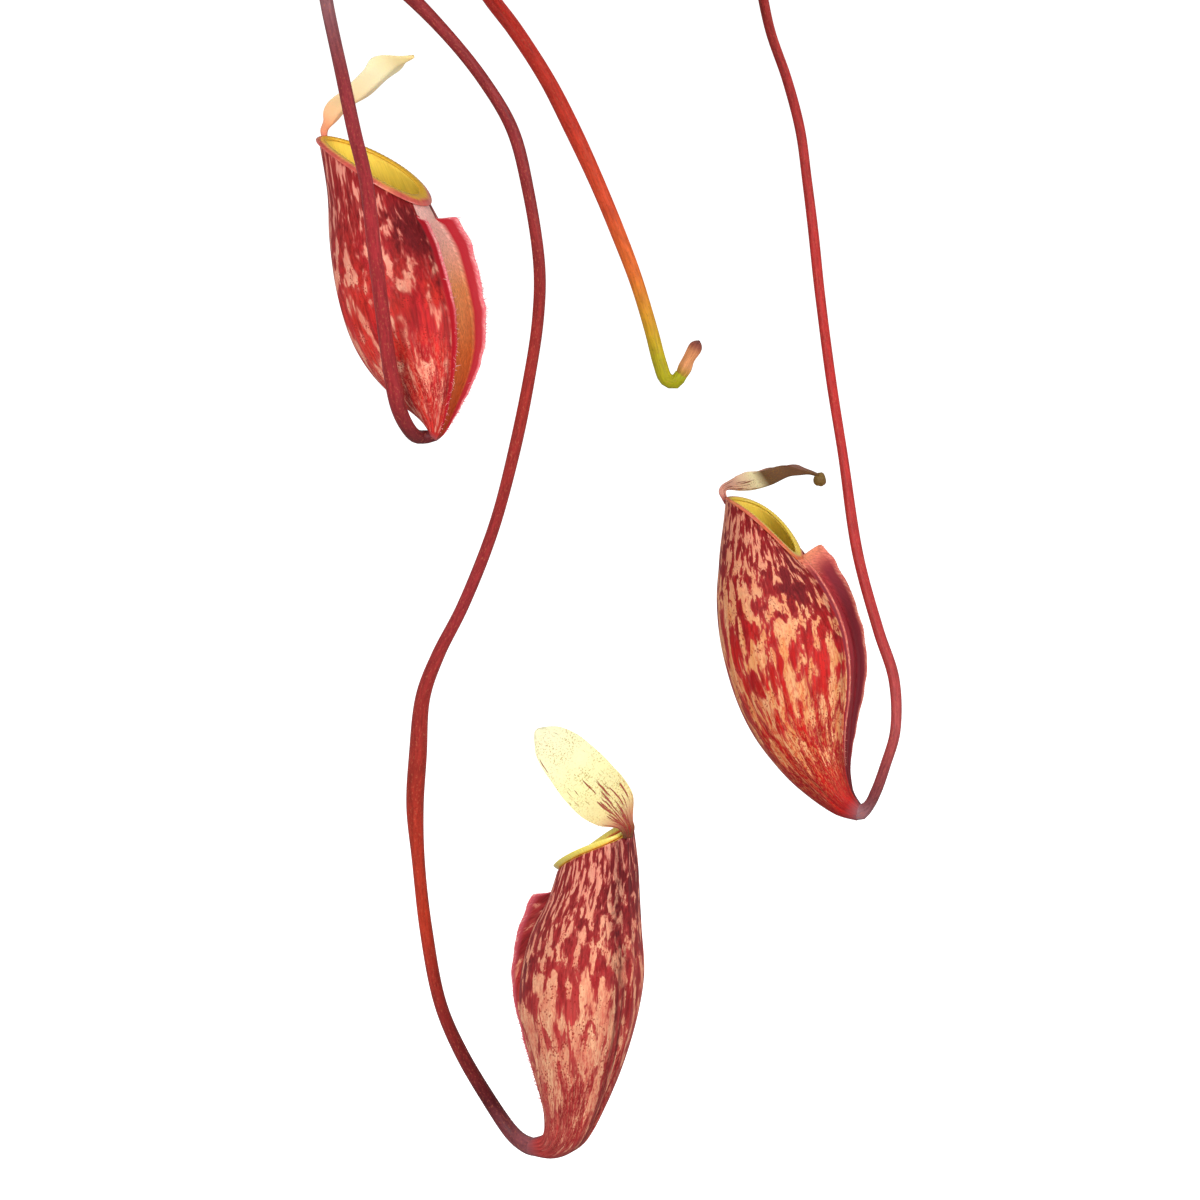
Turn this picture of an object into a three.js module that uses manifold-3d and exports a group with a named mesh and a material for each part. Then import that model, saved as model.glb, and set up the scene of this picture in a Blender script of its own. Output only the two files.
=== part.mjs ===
// A hanging pitcher plant in a slatted wooden basket on four wires and an S hook.
// Millimetres, +Z up, +X to the viewer's right, -Y towards the viewer.
// The origin is the point inside the hook's upper bight that the ceiling hook carries.
import * as THREE from "three";
import Module from "manifold-3d";
import { mergeVertices } from "three/addons/utils/BufferGeometryUtils.js";

const wasm = await Module();
wasm.setup();

// ---------- driving dimensions ----------
const GAP = 0.3; // clearance between pieces that touch

// basket
const BASKET_WIDTH = 150;
const BASKET_FOOT_Z = -370;
const SLAT_HEIGHT = 14;
const SLAT_THICKNESS = 10;
const SLAT_CHAMFER = 1;
const SLAT_LAYERS = 6;
const FLOOR_SLATS = 5;
const FLOOR_SLAT_WIDTH = 16;
const FLOOR_SLAT_HEIGHT = 8;

// wires and hook
const WIRE_RADIUS = 1;
const WIRE_HOLE_RADIUS = 1.6;
const WIRE_FOOT = 9;
const HOOK_WIRE_RADIUS = 1.75;
const HOOK_TOP_RADIUS = 12.75;
const HOOK_LOW_RADIUS = 8.5;
const HOOK_LOW_CENTRE_Z = -44;
const EYE_RADIUS = 3.6;
const EYE_PITCH = 3.9; // spacing of the four wire eyes along the hook's lower bight

// moss and stem
const MOSS_MOUND = 12;
const STEM_RADIUS = 5;
const STEM_TOP_Z = -236;
const SPEAR_TOP_Z = -200; // tip of the newest leaf, still rolled up
const SPEAR_RADIUS = 2;
const STEM_IN_MOSS = 40;

// leaves
const LEAF_THICKNESS = 1;
const LEAF_STEPS = 15;
const LEAF_HALF_WIDTHS = [3, 3.4, 6.5, 12, 16.5, 19, 20, 19.5, 17.5, 14.5, 10.5, 6, 2.4];
const TENDRIL_SIDES = 8;
const TENDRIL_STEP = 10; // length of one straight piece of a tendril
const END_PIECE = 1.5; // and of the first and last pieces

// pitchers
const CUP_WALL = 1.2;
const CUP_RINGS = 15;
const CUP_INNER_RINGS = 7;
const CUP_DEEPEST = 0.26; // where the hollow ends, as a share of the way from base to mouth
const WING_ANGLE = 22; // degrees from the front; form.otherWing is the other wing's angle and share
const RIM_HALF_HEIGHT = 0.6;
const RIM_ROOM = 0.4; // extra clearance for the straight pieces of a rim

// derived heights
const BASKET_HEIGHT = SLAT_LAYERS * SLAT_HEIGHT;
const RIM_Z = BASKET_FOOT_Z + BASKET_HEIGHT;
const SLAT_MIDDLE = BASKET_WIDTH / 2 - SLAT_THICKNESS / 2;

const COLOURS = {
  wood: ["#a9764a", 0.75, 0],
  wire: ["#b9bcc0", 0.35, 1],
  moss: ["#8a8f4a", 0.95, 0],
  stem: ["#5f6b35", 0.6, 0],
  leaf: ["#4f7d2c", 0.4, 0],
  tendril: ["#8f2f2b", 0.45, 0],
  cup: ["#b8403a", 0.45, 0],
  rim: ["#cf9a2e", 0.3, 0],
  lid: ["#efe3a0", 0.5, 0],
  bud: ["#d98a4a", 0.5, 0],
};
const materials = Object.fromEntries(
  Object.entries(COLOURS).map(([name, [color, roughness, metalness]]) => [
    name,
    new THREE.MeshStandardMaterial({ name, color, roughness, metalness }),
  ]),
);

const plant = new THREE.Group();

function add(name, geometry, material, parent = plant) {
  const mesh = new THREE.Mesh(geometry, materials[material]);
  mesh.name = name;
  parent.add(mesh);
  return mesh;
}

const v3 = (x, y, z) => new THREE.Vector3(x, y, z);
const radians = THREE.MathUtils.degToRad;

// ---------- shape tools ----------

// A closed solid through a list of rings, each an array of the same number of points in order.
// round: the ends are fans about their centres; otherwise the rings are flat bands (first half
// one face, second half the other) whose faces are split alike and whose ends are strips.
function loft(rings, round = true) {
  const n = rings[0].length;
  const points = rings.flat();
  const triangles = [];
  for (let i = 0; i + 1 < rings.length; i++)
    for (let j = 0; j < n; j++) {
      const a = i * n + j;
      const b = i * n + ((j + 1) % n);
      const c = a + n;
      const d = b + n;
      if (round || j < n / 2) triangles.push(a, b, d, a, d, c);
      else triangles.push(a, b, c, b, d, c);
    }
  const last = (rings.length - 1) * n;
  if (round) {
    const centre = (ring) =>
      ring.reduce((sum, p) => sum.add(p), v3(0, 0, 0)).divideScalar(n);
    const low = points.push(centre(rings[0])) - 1;
    const high = points.push(centre(rings[rings.length - 1])) - 1;
    for (let j = 0; j < n; j++) {
      const k = (j + 1) % n;
      triangles.push(low, k, j, high, last + j, last + k);
    }
  } else
    for (let j = 0; j + 1 < n / 2; j++) {
      const k = n - 1 - j;
      triangles.push(j, k, j + 1, j + 1, k, k - 1);
      triangles.push(last + j, last + j + 1, last + k);
      triangles.push(last + j + 1, last + k - 1, last + k);
    }
  const geometry = new THREE.BufferGeometry().setFromPoints(points);
  geometry.setIndex(triangles);
  geometry.computeVertexNormals();
  return geometry;
}

// Frames along a line of points that turn no more than the line does.
// first is the sideways direction at the start.
function frames(points, first) {
  const made = [];
  let side = first.clone();
  points.forEach((p, i) => {
    const before = points[Math.max(i - 1, 0)];
    const after = points[Math.min(i + 1, points.length - 1)];
    const along = after.clone().sub(before).normalize();
    side = side.clone().addScaledVector(along, -side.dot(along)).normalize();
    made.push({ p, along, side, up: v3(0, 0, 0).crossVectors(side, along) });
  });
  return made;
}

// A tube along points, with its radius at each.
function tube(points, radii, sides) {
  const start = points[1].clone().sub(points[0]).normalize();
  const helper = Math.abs(start.z) > 0.8 ? v3(1, 0, 0) : v3(0, 0, 1);
  const rings = frames(points, helper.cross(start).normalize()).map(
    ({ p, side, up }, i) => {
      const r = radii[i];
      return Array.from({ length: sides }, (_, j) => {
        const a = (2 * Math.PI * j) / sides;
        return p
          .clone()
          .addScaledVector(side, -r * Math.cos(a))
          .addScaledVector(up, r * Math.sin(a));
      });
    },
  );
  return loft(rings);
}

const smoothLine = (points, steps) =>
  new THREE.CatmullRomCurve3(
    points.map((p) => v3(...p)),
    false,
    "centripetal",
  ).getSpacedPoints(steps);

// Value of a list of numbers at t from 0 to 1, joined by straight lines.
function ramp(values, t) {
  const x = Math.min(Math.max(t, 0), 1) * (values.length - 1);
  const i = Math.min(Math.floor(x), values.length - 2);
  return values[i] + (values[i + 1] - values[i]) * (x - i);
}

const smoothstep = (a, b, x) => THREE.MathUtils.smoothstep(x, a, b);

// Catmull-Rom value of a list of equal-length rows at t from 0 to 1.
function spline(rows, t) {
  const x = Math.min(Math.max(t, 0), 1) * (rows.length - 1);
  const i = Math.min(Math.floor(x), rows.length - 2);
  const f = x - i;
  const row = (k) => rows[Math.min(Math.max(k, 0), rows.length - 1)];
  return rows[0].map((_, c) => {
    const [a, b, d, e] = [i - 1, i, i + 1, i + 2].map((k) => row(k)[c]);
    return (
      0.5 *
      (2 * b +
        (d - a) * f +
        (2 * a - 5 * b + 4 * d - e) * f * f +
        (3 * b - a - 3 * d + e) * f * f * f)
    );
  });
}

function toSolid(geometry) {
  const bare = geometry.index ? geometry.toNonIndexed() : geometry.clone();
  for (const name of ["normal", "uv"]) bare.deleteAttribute(name);
  const merged = mergeVertices(bare, 1e-3);
  return new wasm.Manifold(
    new wasm.Mesh({
      numProp: 3,
      vertProperties: merged.attributes.position.array,
      triVerts: new Uint32Array(merged.index.array),
    }),
  );
}

function fromSolid(solid) {
  const mesh = solid.getMesh();
  const geometry = new THREE.BufferGeometry();
  geometry.setAttribute(
    "position",
    new THREE.BufferAttribute(mesh.vertProperties, 3),
  );
  geometry.setIndex(new THREE.BufferAttribute(mesh.triVerts, 1));
  geometry.computeVertexNormals();
  return geometry;
}

// ---------- basket ----------

// A slat along X, centred, with chamfered long edges.
function slat(length, thickness, height) {
  const [t, h, c] = [thickness / 2, height / 2, SLAT_CHAMFER];
  const section = new THREE.Shape(
    [
      [-h + c, -t],
      [h - c, -t],
      [h, -t + c],
      [h, t - c],
      [h - c, t],
      [-h + c, t],
      [-h, t - c],
      [-h, -t + c],
    ].map(([x, y]) => new THREE.Vector2(x, y)),
  );
  const bar = new THREE.ExtrudeGeometry(section, {
    depth: length,
    bevelEnabled: false,
  });
  bar.translate(0, 0, -length / 2);
  bar.rotateY(Math.PI / 2);
  return bar;
}

function holedSlat() {
  let solid = toSolid(slat(BASKET_WIDTH, SLAT_THICKNESS, SLAT_HEIGHT - GAP));
  for (const side of [-1, 1]) {
    const drill = new THREE.CylinderGeometry(
      WIRE_HOLE_RADIUS,
      WIRE_HOLE_RADIUS,
      SLAT_HEIGHT * 2,
      8,
    );
    drill.rotateX(Math.PI / 2);
    drill.translate(side * SLAT_MIDDLE, 0, 0);
    solid = solid.subtract(toSolid(drill));
  }
  return fromSolid(solid);
}

function basket() {
  const geometry = holedSlat();
  const sides = [
    { name: "front", turn: 0 },
    { name: "right", turn: 90 },
    { name: "back", turn: 180 },
    { name: "left", turn: 270 },
  ];
  for (let layer = 0; layer < SLAT_LAYERS; layer++)
    for (const { name, turn } of sides) {
      if ((turn / 90) % 2 !== layer % 2) continue;
      const holder = new THREE.Group();
      holder.rotation.z = radians(turn);
      holder.position.z = BASKET_FOOT_Z + (layer + 0.5) * SLAT_HEIGHT;
      plant.add(holder);
      const piece = add(`slat_${name}_${layer + 1}`, geometry, "wood", holder);
      piece.position.y = -SLAT_MIDDLE;
    }
  const floor = slat(
    BASKET_WIDTH - 2 * SLAT_CHAMFER,
    FLOOR_SLAT_WIDTH,
    FLOOR_SLAT_HEIGHT,
  );
  const room = BASKET_WIDTH - 2 * SLAT_THICKNESS;
  for (let i = 0; i < FLOOR_SLATS; i++) {
    const piece = add(`floor_slat_${i + 1}`, floor, "wood");
    piece.rotation.z = Math.PI / 2;
    piece.position.set(
      -room / 2 + ((i + 0.5) * room) / FLOOR_SLATS,
      0,
      BASKET_FOOT_Z + SLAT_HEIGHT + FLOOR_SLAT_HEIGHT / 2 + GAP / 2,
    );
  }
}

// ---------- wires and hook ----------

const onCircle = (centre, radius, degrees) => [
  centre[0] + radius * Math.cos(radians(degrees)),
  centre[1] + radius * Math.sin(radians(degrees)),
];

// The S hook's middle line, in the XZ plane: top bight, slanting shank, lower bight.
function hook() {
  const top = [0, -HOOK_TOP_RADIUS + HOOK_WIRE_RADIUS];
  const low = [0, HOOK_LOW_CENTRE_Z];
  const line = [];
  for (let a = 215; a >= -45; a -= 20) line.push(onCircle(top, HOOK_TOP_RADIUS, a));
  for (let a = 150; a <= 390; a += 20) line.push(onCircle(low, HOOK_LOW_RADIUS, a));
  add(
    "hook",
    tube(
      line.map(([x, z]) => v3(x, 0, z)),
      line.map(() => HOOK_WIRE_RADIUS),
      8,
    ),
    "wire",
  );
}

// One wire: an eye strung on the hook's lower bight, a straight run to a basket corner,
// down through the slats, and a foot bent in under the lowest slat.
function wire(name, corner, place) {
  const angle = -90 + (place * EYE_PITCH * 180) / (Math.PI * HOOK_LOW_RADIUS);
  const [hx, hz] = onCircle([0, HOOK_LOW_CENTRE_Z], HOOK_LOW_RADIUS, angle);
  const out = v3(Math.cos(radians(angle)), 0, Math.sin(radians(angle)));
  const hang = EYE_RADIUS - WIRE_RADIUS - HOOK_WIRE_RADIUS - GAP;
  const centre = v3(hx, 0, hz).addScaledVector(out, hang);
  const across = v3(0, Math.sign(corner[1]), 0);
  const line = [];
  for (let a = -50; a <= 250; a += 25)
    line.push(
      centre
        .clone()
        .addScaledVector(across, -EYE_RADIUS * Math.sin(radians(a)))
        .addScaledVector(out, -EYE_RADIUS * Math.cos(radians(a))),
    );
  const bend = v3(corner[0], corner[1], RIM_Z + 4);
  const start = line[line.length - 1];
  for (const t of [0.06, 0.5, 0.985]) line.push(start.clone().lerp(bend, t));
  line.push(v3(corner[0], corner[1], RIM_Z + 1));
  const foot = BASKET_FOOT_Z - WIRE_RADIUS - 0.8;
  line.push(v3(corner[0], corner[1], foot + 2.2));
  const inward = -Math.sign(corner[0]);
  line.push(v3(corner[0] + inward * 0.7, corner[1], foot + 0.6));
  line.push(v3(corner[0] + inward * 2.4, corner[1], foot));
  line.push(v3(corner[0] + inward * WIRE_FOOT, corner[1], foot));
  const radii = line.map(() => WIRE_RADIUS);
  add(name, tube(line, radii, 6), "wire");
}

function wires() {
  const m = SLAT_MIDDLE;
  wire("wire_front_left", [-m, -m], -1.5);
  wire("wire_back_left", [-m, m], -0.5);
  wire("wire_front_right", [m, -m], 0.5);
  wire("wire_back_right", [m, m], 1.5);
}

// ---------- moss and stem ----------

// A block that fills the basket, mounded and lumpy on top, with a plain hole for the stem.
function moss() {
  const width = BASKET_WIDTH - 2 * SLAT_THICKNESS - 2 * GAP;
  const foot = BASKET_FOOT_Z + SLAT_HEIGHT + FLOOR_SLAT_HEIGHT + 2 * GAP;
  const height = RIM_Z - foot;
  const block = new THREE.BoxGeometry(width, width, height, 9, 9, 2);
  block.translate(0, 0, foot + height / 2);
  const position = block.attributes.position;
  for (let i = 0; i < position.count; i++) {
    const [x, y, z] = [position.getX(i), position.getY(i), position.getZ(i)];
    if (z < RIM_Z - 1) continue;
    const edge = (1 - (2 * x / width) ** 4) * (1 - (2 * y / width) ** 4);
    const lumps = 2 * Math.sin(x * 0.13 + 1) * Math.sin(y * 0.11 + 2);
    position.setZ(i, RIM_Z - 3 + edge * (MOSS_MOUND + lumps));
  }
  const hole = new THREE.CylinderGeometry(
    STEM_RADIUS + GAP,
    STEM_RADIUS + GAP,
    2 * STEM_IN_MOSS,
    12,
  );
  hole.rotateX(Math.PI / 2);
  hole.translate(0, 0, RIM_Z + MOSS_MOUND);
  add("moss", fromSolid(toSolid(block).subtract(toSolid(hole))), "moss");
}

function stem() {
  const foot = RIM_Z + MOSS_MOUND - STEM_IN_MOSS + GAP;
  const shares = [0, 0.3, 0.6, 0.97];
  const line = shares.map((t) => v3(0, 0, foot + (STEM_TOP_Z - foot) * t));
  const radii = shares.map((t) => STEM_RADIUS * (1 - 0.12 * t));
  for (const t of [0, 0.4, 0.75, 1]) {
    line.push(v3(5 * t * t, -2 * t, STEM_TOP_Z + (SPEAR_TOP_Z - STEM_TOP_Z) * t));
    radii.push(SPEAR_RADIUS * (1 - 0.7 * t * t));
  }
  add("stem", tube(line, radii, 12), "stem");
}

// ---------- leaves ----------

// A thin blade along a line: halfWidth(t) across, folded up at the edges, waved,
// with a keel along its underside.
function blade(line, side, { halfWidth, thickness, fold, wave, keel, phase = 0 }) {
  const across = [-1, -0.55, 0, 0.55, 1];
  const rings = frames(line, side).map(({ p, side: s, up }, i) => {
    const t = i / (line.length - 1);
    const w = halfWidth(t);
    const at = (q, lift) => {
      const ripple =
        wave * Math.min(w / 12, 1) * q * q * Math.sin(t * 20 + phase + q * 1.3);
      return p
        .clone()
        .addScaledVector(s, q * w)
        .addScaledVector(up, Math.abs(q) * w * fold + ripple + lift);
    };
    const top = across.map((q) => at(q, thickness / 2));
    const under = across
      .slice()
      .reverse()
      .map((q) => at(q, -thickness / 2 - (q === 0 ? keel(t) : 0)));
    return [...top, ...under];
  });
  return loft(rings, false);
}

// Points of a leaf's middle line, from the stem over the basket's edge to the tip.
function leafLine(azimuth, height, rise, tip) {
  const turn = (r, z, share = 0) => {
    const a = radians(azimuth);
    const x = r * Math.cos(a);
    const y = r * Math.sin(a);
    return [x + share * (tip[0] - x), y + share * (tip[1] - y), z];
  };
  return smoothLine(
    [
      turn(STEM_RADIUS + 0.7, height),
      turn(24, height + rise * 0.55),
      turn(58, height + rise),
      turn(90, (height + rise) * 0.62 + tip[2] * 0.38, 0.25),
      tip,
    ],
    LEAF_STEPS,
  );
}

// Points of a young leaf's middle line, still rising.
function youngLeafLine(azimuth, height) {
  const [c, s] = [Math.cos(radians(azimuth)), Math.sin(radians(azimuth))];
  const at = (r, rise) => [r * c, r * s, height + rise];
  const start = STEM_RADIUS + 0.2;
  return smoothLine([at(start, 0), at(13, 13), at(22, 32), at(33, 50), at(43, 58)], 9);
}

function leaf(name, { azimuth, height, rise, tip, size = 1, phase = 0 }) {
  const young = tip === undefined;
  const line = young ? youngLeafLine(azimuth, height) : leafLine(azimuth, height, rise, tip);
  const side = v3(Math.sin(radians(azimuth)), -Math.cos(radians(azimuth)), 0);
  const shape = {
    halfWidth: (t) => ramp(LEAF_HALF_WIDTHS, t) * (t > 0.05 && t < 0.99 ? size : 1),
    thickness: LEAF_THICKNESS,
    fold: 0.22,
    wave: 1.6,
    keel: (t) => 1.2 + 0.5 * t,
    phase,
  };
  add(name, blade(line, side, shape), "leaf");
  return line.slice(-2);
}

// ---------- tendrils ----------

// The middle line of a tendril and its radii, from points [x, y, z, radius].
function route(points) {
  const curve = new THREE.CatmullRomCurve3(
    points.map(([x, y, z]) => v3(x, y, z)),
    false,
    "centripetal",
  );
  const length = curve.getLength();
  const steps = Math.max(4, Math.round(length / TENDRIL_STEP));
  const places = Array.from({ length: steps + 1 }, (_, i) => i / steps);
  places.splice(1, 0, END_PIECE / length);
  places.splice(-1, 0, 1 - END_PIECE / length);
  const radii = points.map((p) => p[3]);
  return {
    line: places.map((u) => curve.getPointAt(u)),
    radii: places.map((u) => ramp(radii, curve.getUtoTmapping(u))),
  };
}

// A tendril that leaves the tip of a leaf and follows the points given.
function tendril(name, [before, tip], points) {
  const out = tip.clone().sub(before).normalize();
  const start = tip.clone().addScaledVector(out, GAP);
  const lead = start.clone().addScaledVector(out, 7);
  const { line, radii } = route([
    [...start.toArray(), 1.3],
    [...lead.toArray(), 1.5],
    ...points,
  ]);
  add(name, tube(line, radii, TENDRIL_SIDES), "tendril");
}

// A short tendril with no pitcher yet, hooked up at its end.
function youngTendril(name, [before, tip], reach) {
  const out = tip.clone().sub(before).normalize();
  const flat = v3(out.x, out.y, 0).normalize();
  const at = (along, down, radius) => {
    const p = tip.clone().addScaledVector(flat, along * reach);
    return [p.x, p.y, p.z - down * reach, radius];
  };
  const start = tip.clone().addScaledVector(out, GAP);
  const { line, radii } = route([
    [...start.toArray(), 1.2],
    at(0.25, 0.6, 1.2),
    at(0.55, 1, 1.3),
    at(0.85, 1, 1.6),
    at(1.02, 0.72, 2),
    at(1, 0.5, 0.9),
  ]);
  add(name, tube(line, radii, 6), "tendril");
}

// ---------- pitchers ----------

// Angles round half a pitcher, in degrees from its front. The wing's crest is the pair 1 degree
// either side of the wing's angle.
function halfRing(wing) {
  return [wing - 10, wing - 3, wing - 1, wing + 1, wing + 4, wing + 16, 56, 75, 95, 115, 137, 159];
}

// Angles round a pitcher, the side of its other wing negative.
function ringOf(form) {
  const other = halfRing(form.otherWing[0]).map((a) => -a);
  return [0, ...halfRing(WING_ANGLE), 180, ...other.reverse()];
}

// The angle and the share of the height of the wing on the side of an angle.
function wingOf(form, degrees) {
  return degrees < 0 ? form.otherWing : [WING_ANGLE, 1];
}

// A point of a pitcher's wall: level t from base to mouth, angle from the front, inset into the wall.
// Each station gives the back point, the front point and the width over the depth.
function wallPoint(form, t, degrees, inset) {
  const [bx, bz, fx, fz, ratio] = spline(form.stations, t);
  const depth = Math.hypot(fx - bx, fz - bz) / 2;
  const along = [(fx - bx) / (2 * depth), (fz - bz) / (2 * depth)];
  const a = radians(degrees);
  const forward = (depth - inset) * Math.cos(a);
  const saddle = form.saddle * Math.sin(a) ** 2 * smoothstep(0.7, 1, t);
  return v3(
    (bx + fx) / 2 + forward * along[0],
    (depth * ratio - inset) * Math.sin(a),
    (bz + fz) / 2 + forward * along[1] + saddle,
  );
}

// How far a wing stands out at level t, along the front's outward direction.
function wingOffset(form, t, degrees) {
  const [angle, share] = wingOf(form, degrees);
  const high = ramp(form.wing, t) * share;
  const [, , x0, z0] = spline(form.stations, t - 0.03);
  const [, , x1, z1] = spline(form.stations, t + 0.03);
  const length = Math.hypot(x1 - x0, z1 - z0) || 1;
  const [nx, nz] = [(z1 - z0) / length, -(x1 - x0) / length];
  const a = radians(angle) * Math.sign(degrees);
  return v3(nx * Math.cos(a), Math.sin(a), nz * Math.cos(a)).multiplyScalar(high);
}

function cup(form) {
  const rings = [];
  const ring = ringOf(form);
  for (let i = 0; i <= CUP_RINGS; i++) {
    const t = i / CUP_RINGS;
    rings.push(
      ring.map((degrees) => {
        const p = wallPoint(form, t, degrees, 0);
        const crest = Math.abs(Math.abs(degrees) - wingOf(form, degrees)[0]) <= 1;
        if (crest) p.add(wingOffset(form, t, degrees));
        return p;
      }),
    );
  }
  for (let i = 0; i <= CUP_INNER_RINGS; i++) {
    const t = 1 - ((1 - CUP_DEEPEST) * i) / CUP_INNER_RINGS;
    const [bx, bz, fx, fz] = spline(form.stations, t);
    const depth = Math.hypot(fx - bx, fz - bz) / 2;
    const inset = i === CUP_INNER_RINGS ? depth * 0.55 : CUP_WALL;
    rings.push(ring.map((degrees) => wallPoint(form, t, degrees, inset)));
  }
  return loft(rings);
}

// The rolled lip: a flattened ring that follows the mouth, standing just off the cup's edge.
// form.lip is half its width and the angle its outer edge is tilted up by.
function rim(form) {
  const [bx, bz, fx, fz] = spline(form.stations, 1);
  const depth = Math.hypot(fx - bx, fz - bz);
  const up = v3(-(fz - bz) / depth, 0, (fx - bx) / depth);
  const [halfWidth, tilt] = form.lip;
  const [c, s] = [Math.cos(radians(tilt)), Math.sin(radians(tilt))];
  const lift = GAP + RIM_ROOM + halfWidth * s + RIM_HALF_HEIGHT * c;
  const segments = 24;
  const sides = 6;
  const points = [];
  const triangles = [];
  for (let i = 0; i < segments; i++) {
    const degrees = (360 * i) / segments;
    const middle = wallPoint(form, 1, degrees, CUP_WALL / 2);
    const outward = wallPoint(form, 1, degrees, 0).sub(middle).normalize();
    for (let j = 0; j < sides; j++) {
      const a = (2 * Math.PI * j) / sides;
      const r = halfWidth * Math.cos(a);
      const h = RIM_HALF_HEIGHT * Math.sin(a);
      points.push(
        middle
          .clone()
          .addScaledVector(up, lift + r * s + h * c)
          .addScaledVector(outward, r * c - h * s),
      );
      const a0 = i * sides + j;
      const a1 = i * sides + ((j + 1) % sides);
      const b0 = ((i + 1) % segments) * sides + j;
      const b1 = ((i + 1) % segments) * sides + ((j + 1) % sides);
      triangles.push(a0, b0, b1, a0, b1, a1);
    }
  }
  const geometry = new THREE.BufferGeometry().setFromPoints(points);
  geometry.setIndex(triangles);
  geometry.computeVertexNormals();
  return geometry;
}

// The lid: a narrow blade from the hinge at the back of the mouth.
function lid(form) {
  const [bx, bz] = spline(form.stations, 1);
  const { line, roll, halfWidths, fold } = form.lid;
  const hinge = [bx + form.lid.start[0], bz + form.lid.start[1]];
  const points = smoothLine(
    line.map(([x, z]) => [hinge[0] + x, 0, hinge[1] + z]),
    12,
  );
  const start = points[1].clone().sub(points[0]).normalize();
  const side = v3(0, -1, 0).applyAxisAngle(start, radians(roll));
  return blade(points, side, {
    halfWidth: (t) => ramp(halfWidths, t),
    thickness: LEAF_THICKNESS,
    fold,
    wave: 0.5,
    keel: () => 0.5,
  });
}

function pitcher(name, form) {
  const holder = new THREE.Group();
  holder.position.set(...form.base);
  holder.rotation.order = "ZXY";
  holder.rotation.z = radians(form.azimuth);
  holder.rotation.x = radians(form.roll);
  plant.add(holder);
  add(`${name}_cup`, cup(form), "cup", holder);
  add(`${name}_rim`, rim(form), "rim", holder);
  add(`${name}_lid`, lid(form), "lid", holder);
}

// Stations from the base to the mouth: back x, back z, front x, front z, width over depth.
const LEFT_PITCHER = {
  base: [-21.6, -76, -494.2],
  azimuth: -38,
  roll: -7,
  saddle: 1,
  lip: [1.3, 0],
  stations: [
    [-1, 1.4, 0.9, -1.4, 1],
    [-3.8, 4.1, 2.6, 1.4, 1],
    [-9.6, 7.1, 4.8, 7.4, 0.96],
    [-14.6, 10.3, 6.3, 13.3, 0.93],
    [-19.8, 15.1, 7.1, 19.6, 0.93],
    [-25, 21.4, 7.2, 26.1, 0.93],
    [-29.6, 29.1, 6.1, 33.5, 0.93],
    [-33.5, 38.2, 2.9, 41.1, 0.92],
    [-36.6, 49.6, -1.4, 49.3, 0.9],
    [-39.5, 62, -6.8, 55.8, 0.8],
    [-44.8, 75.9, -10.9, 61.2, 0.6],
  ],
  wing: [0, 0.6, 1.4, 2, 2.8, 3.7, 4.2, 4.6, 4.9, 4.2, 0],
  otherWing: [14, 0.55],
  lid: {
    start: [-0.4, 2.3],
    line: [[0, 0], [1.8, 2.1], [4.4, 5.3], [11.2, 9.3], [18.4, 14.9], [22.8, 18.3], [25.8, 19.7], [28.8, 21.1]],
    roll: -12,
    halfWidths: [1.3, 3.2, 4.1, 4.2, 4.5, 4.9, 5.4, 2.8, 0.7],
    fold: 0.5,
  },
};

const RIGHT_PITCHER = {
  base: [97.5, 45, -622.3],
  azimuth: -18,
  roll: -5,
  saddle: 3.2,
  lip: [1.3, 0],
  stations: [
    [-0.5, -2.6, 0.5, 2.2, 1],
    [-6.8, -1.2, -2.1, 6.1, 1],
    [-14.6, 3.6, -3.7, 12.4, 1],
    [-23.3, 10.6, -4.1, 19.1, 1],
    [-31.6, 20.2, -3.9, 27, 1],
    [-38.1, 32.5, -3.3, 35.9, 1],
    [-42.5, 46.1, -3.7, 45.5, 1],
    [-44.1, 59.2, -6.2, 55.1, 0.99],
    [-43.8, 70.8, -11.3, 64.2, 0.98],
    [-42.9, 81.2, -16.6, 69.8, 0.9],
    [-42.6, 89, -20.5, 72.6, 0.7],
  ],
  wing: [0, 0, 0.6, 1.2, 2.2, 3.2, 3.8, 4.2, 5.1, 6.2, 0],
  otherWing: [14, 0.3],
  lid: {
    start: [-0.5, 2.5],
    line: [[0, 0], [4.5, 0.2], [8.3, 0.6], [13.7, 2.3], [19, 4.9], [22.1, 5.4], [25.1, 5.7], [28.5, 4.9]],
    roll: 0,
    halfWidths: [2.1, 4.6, 5.5, 5.5, 5, 4, 2.9, 1.4, 1.4],
    fold: 0.9,
  },
};

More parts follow.
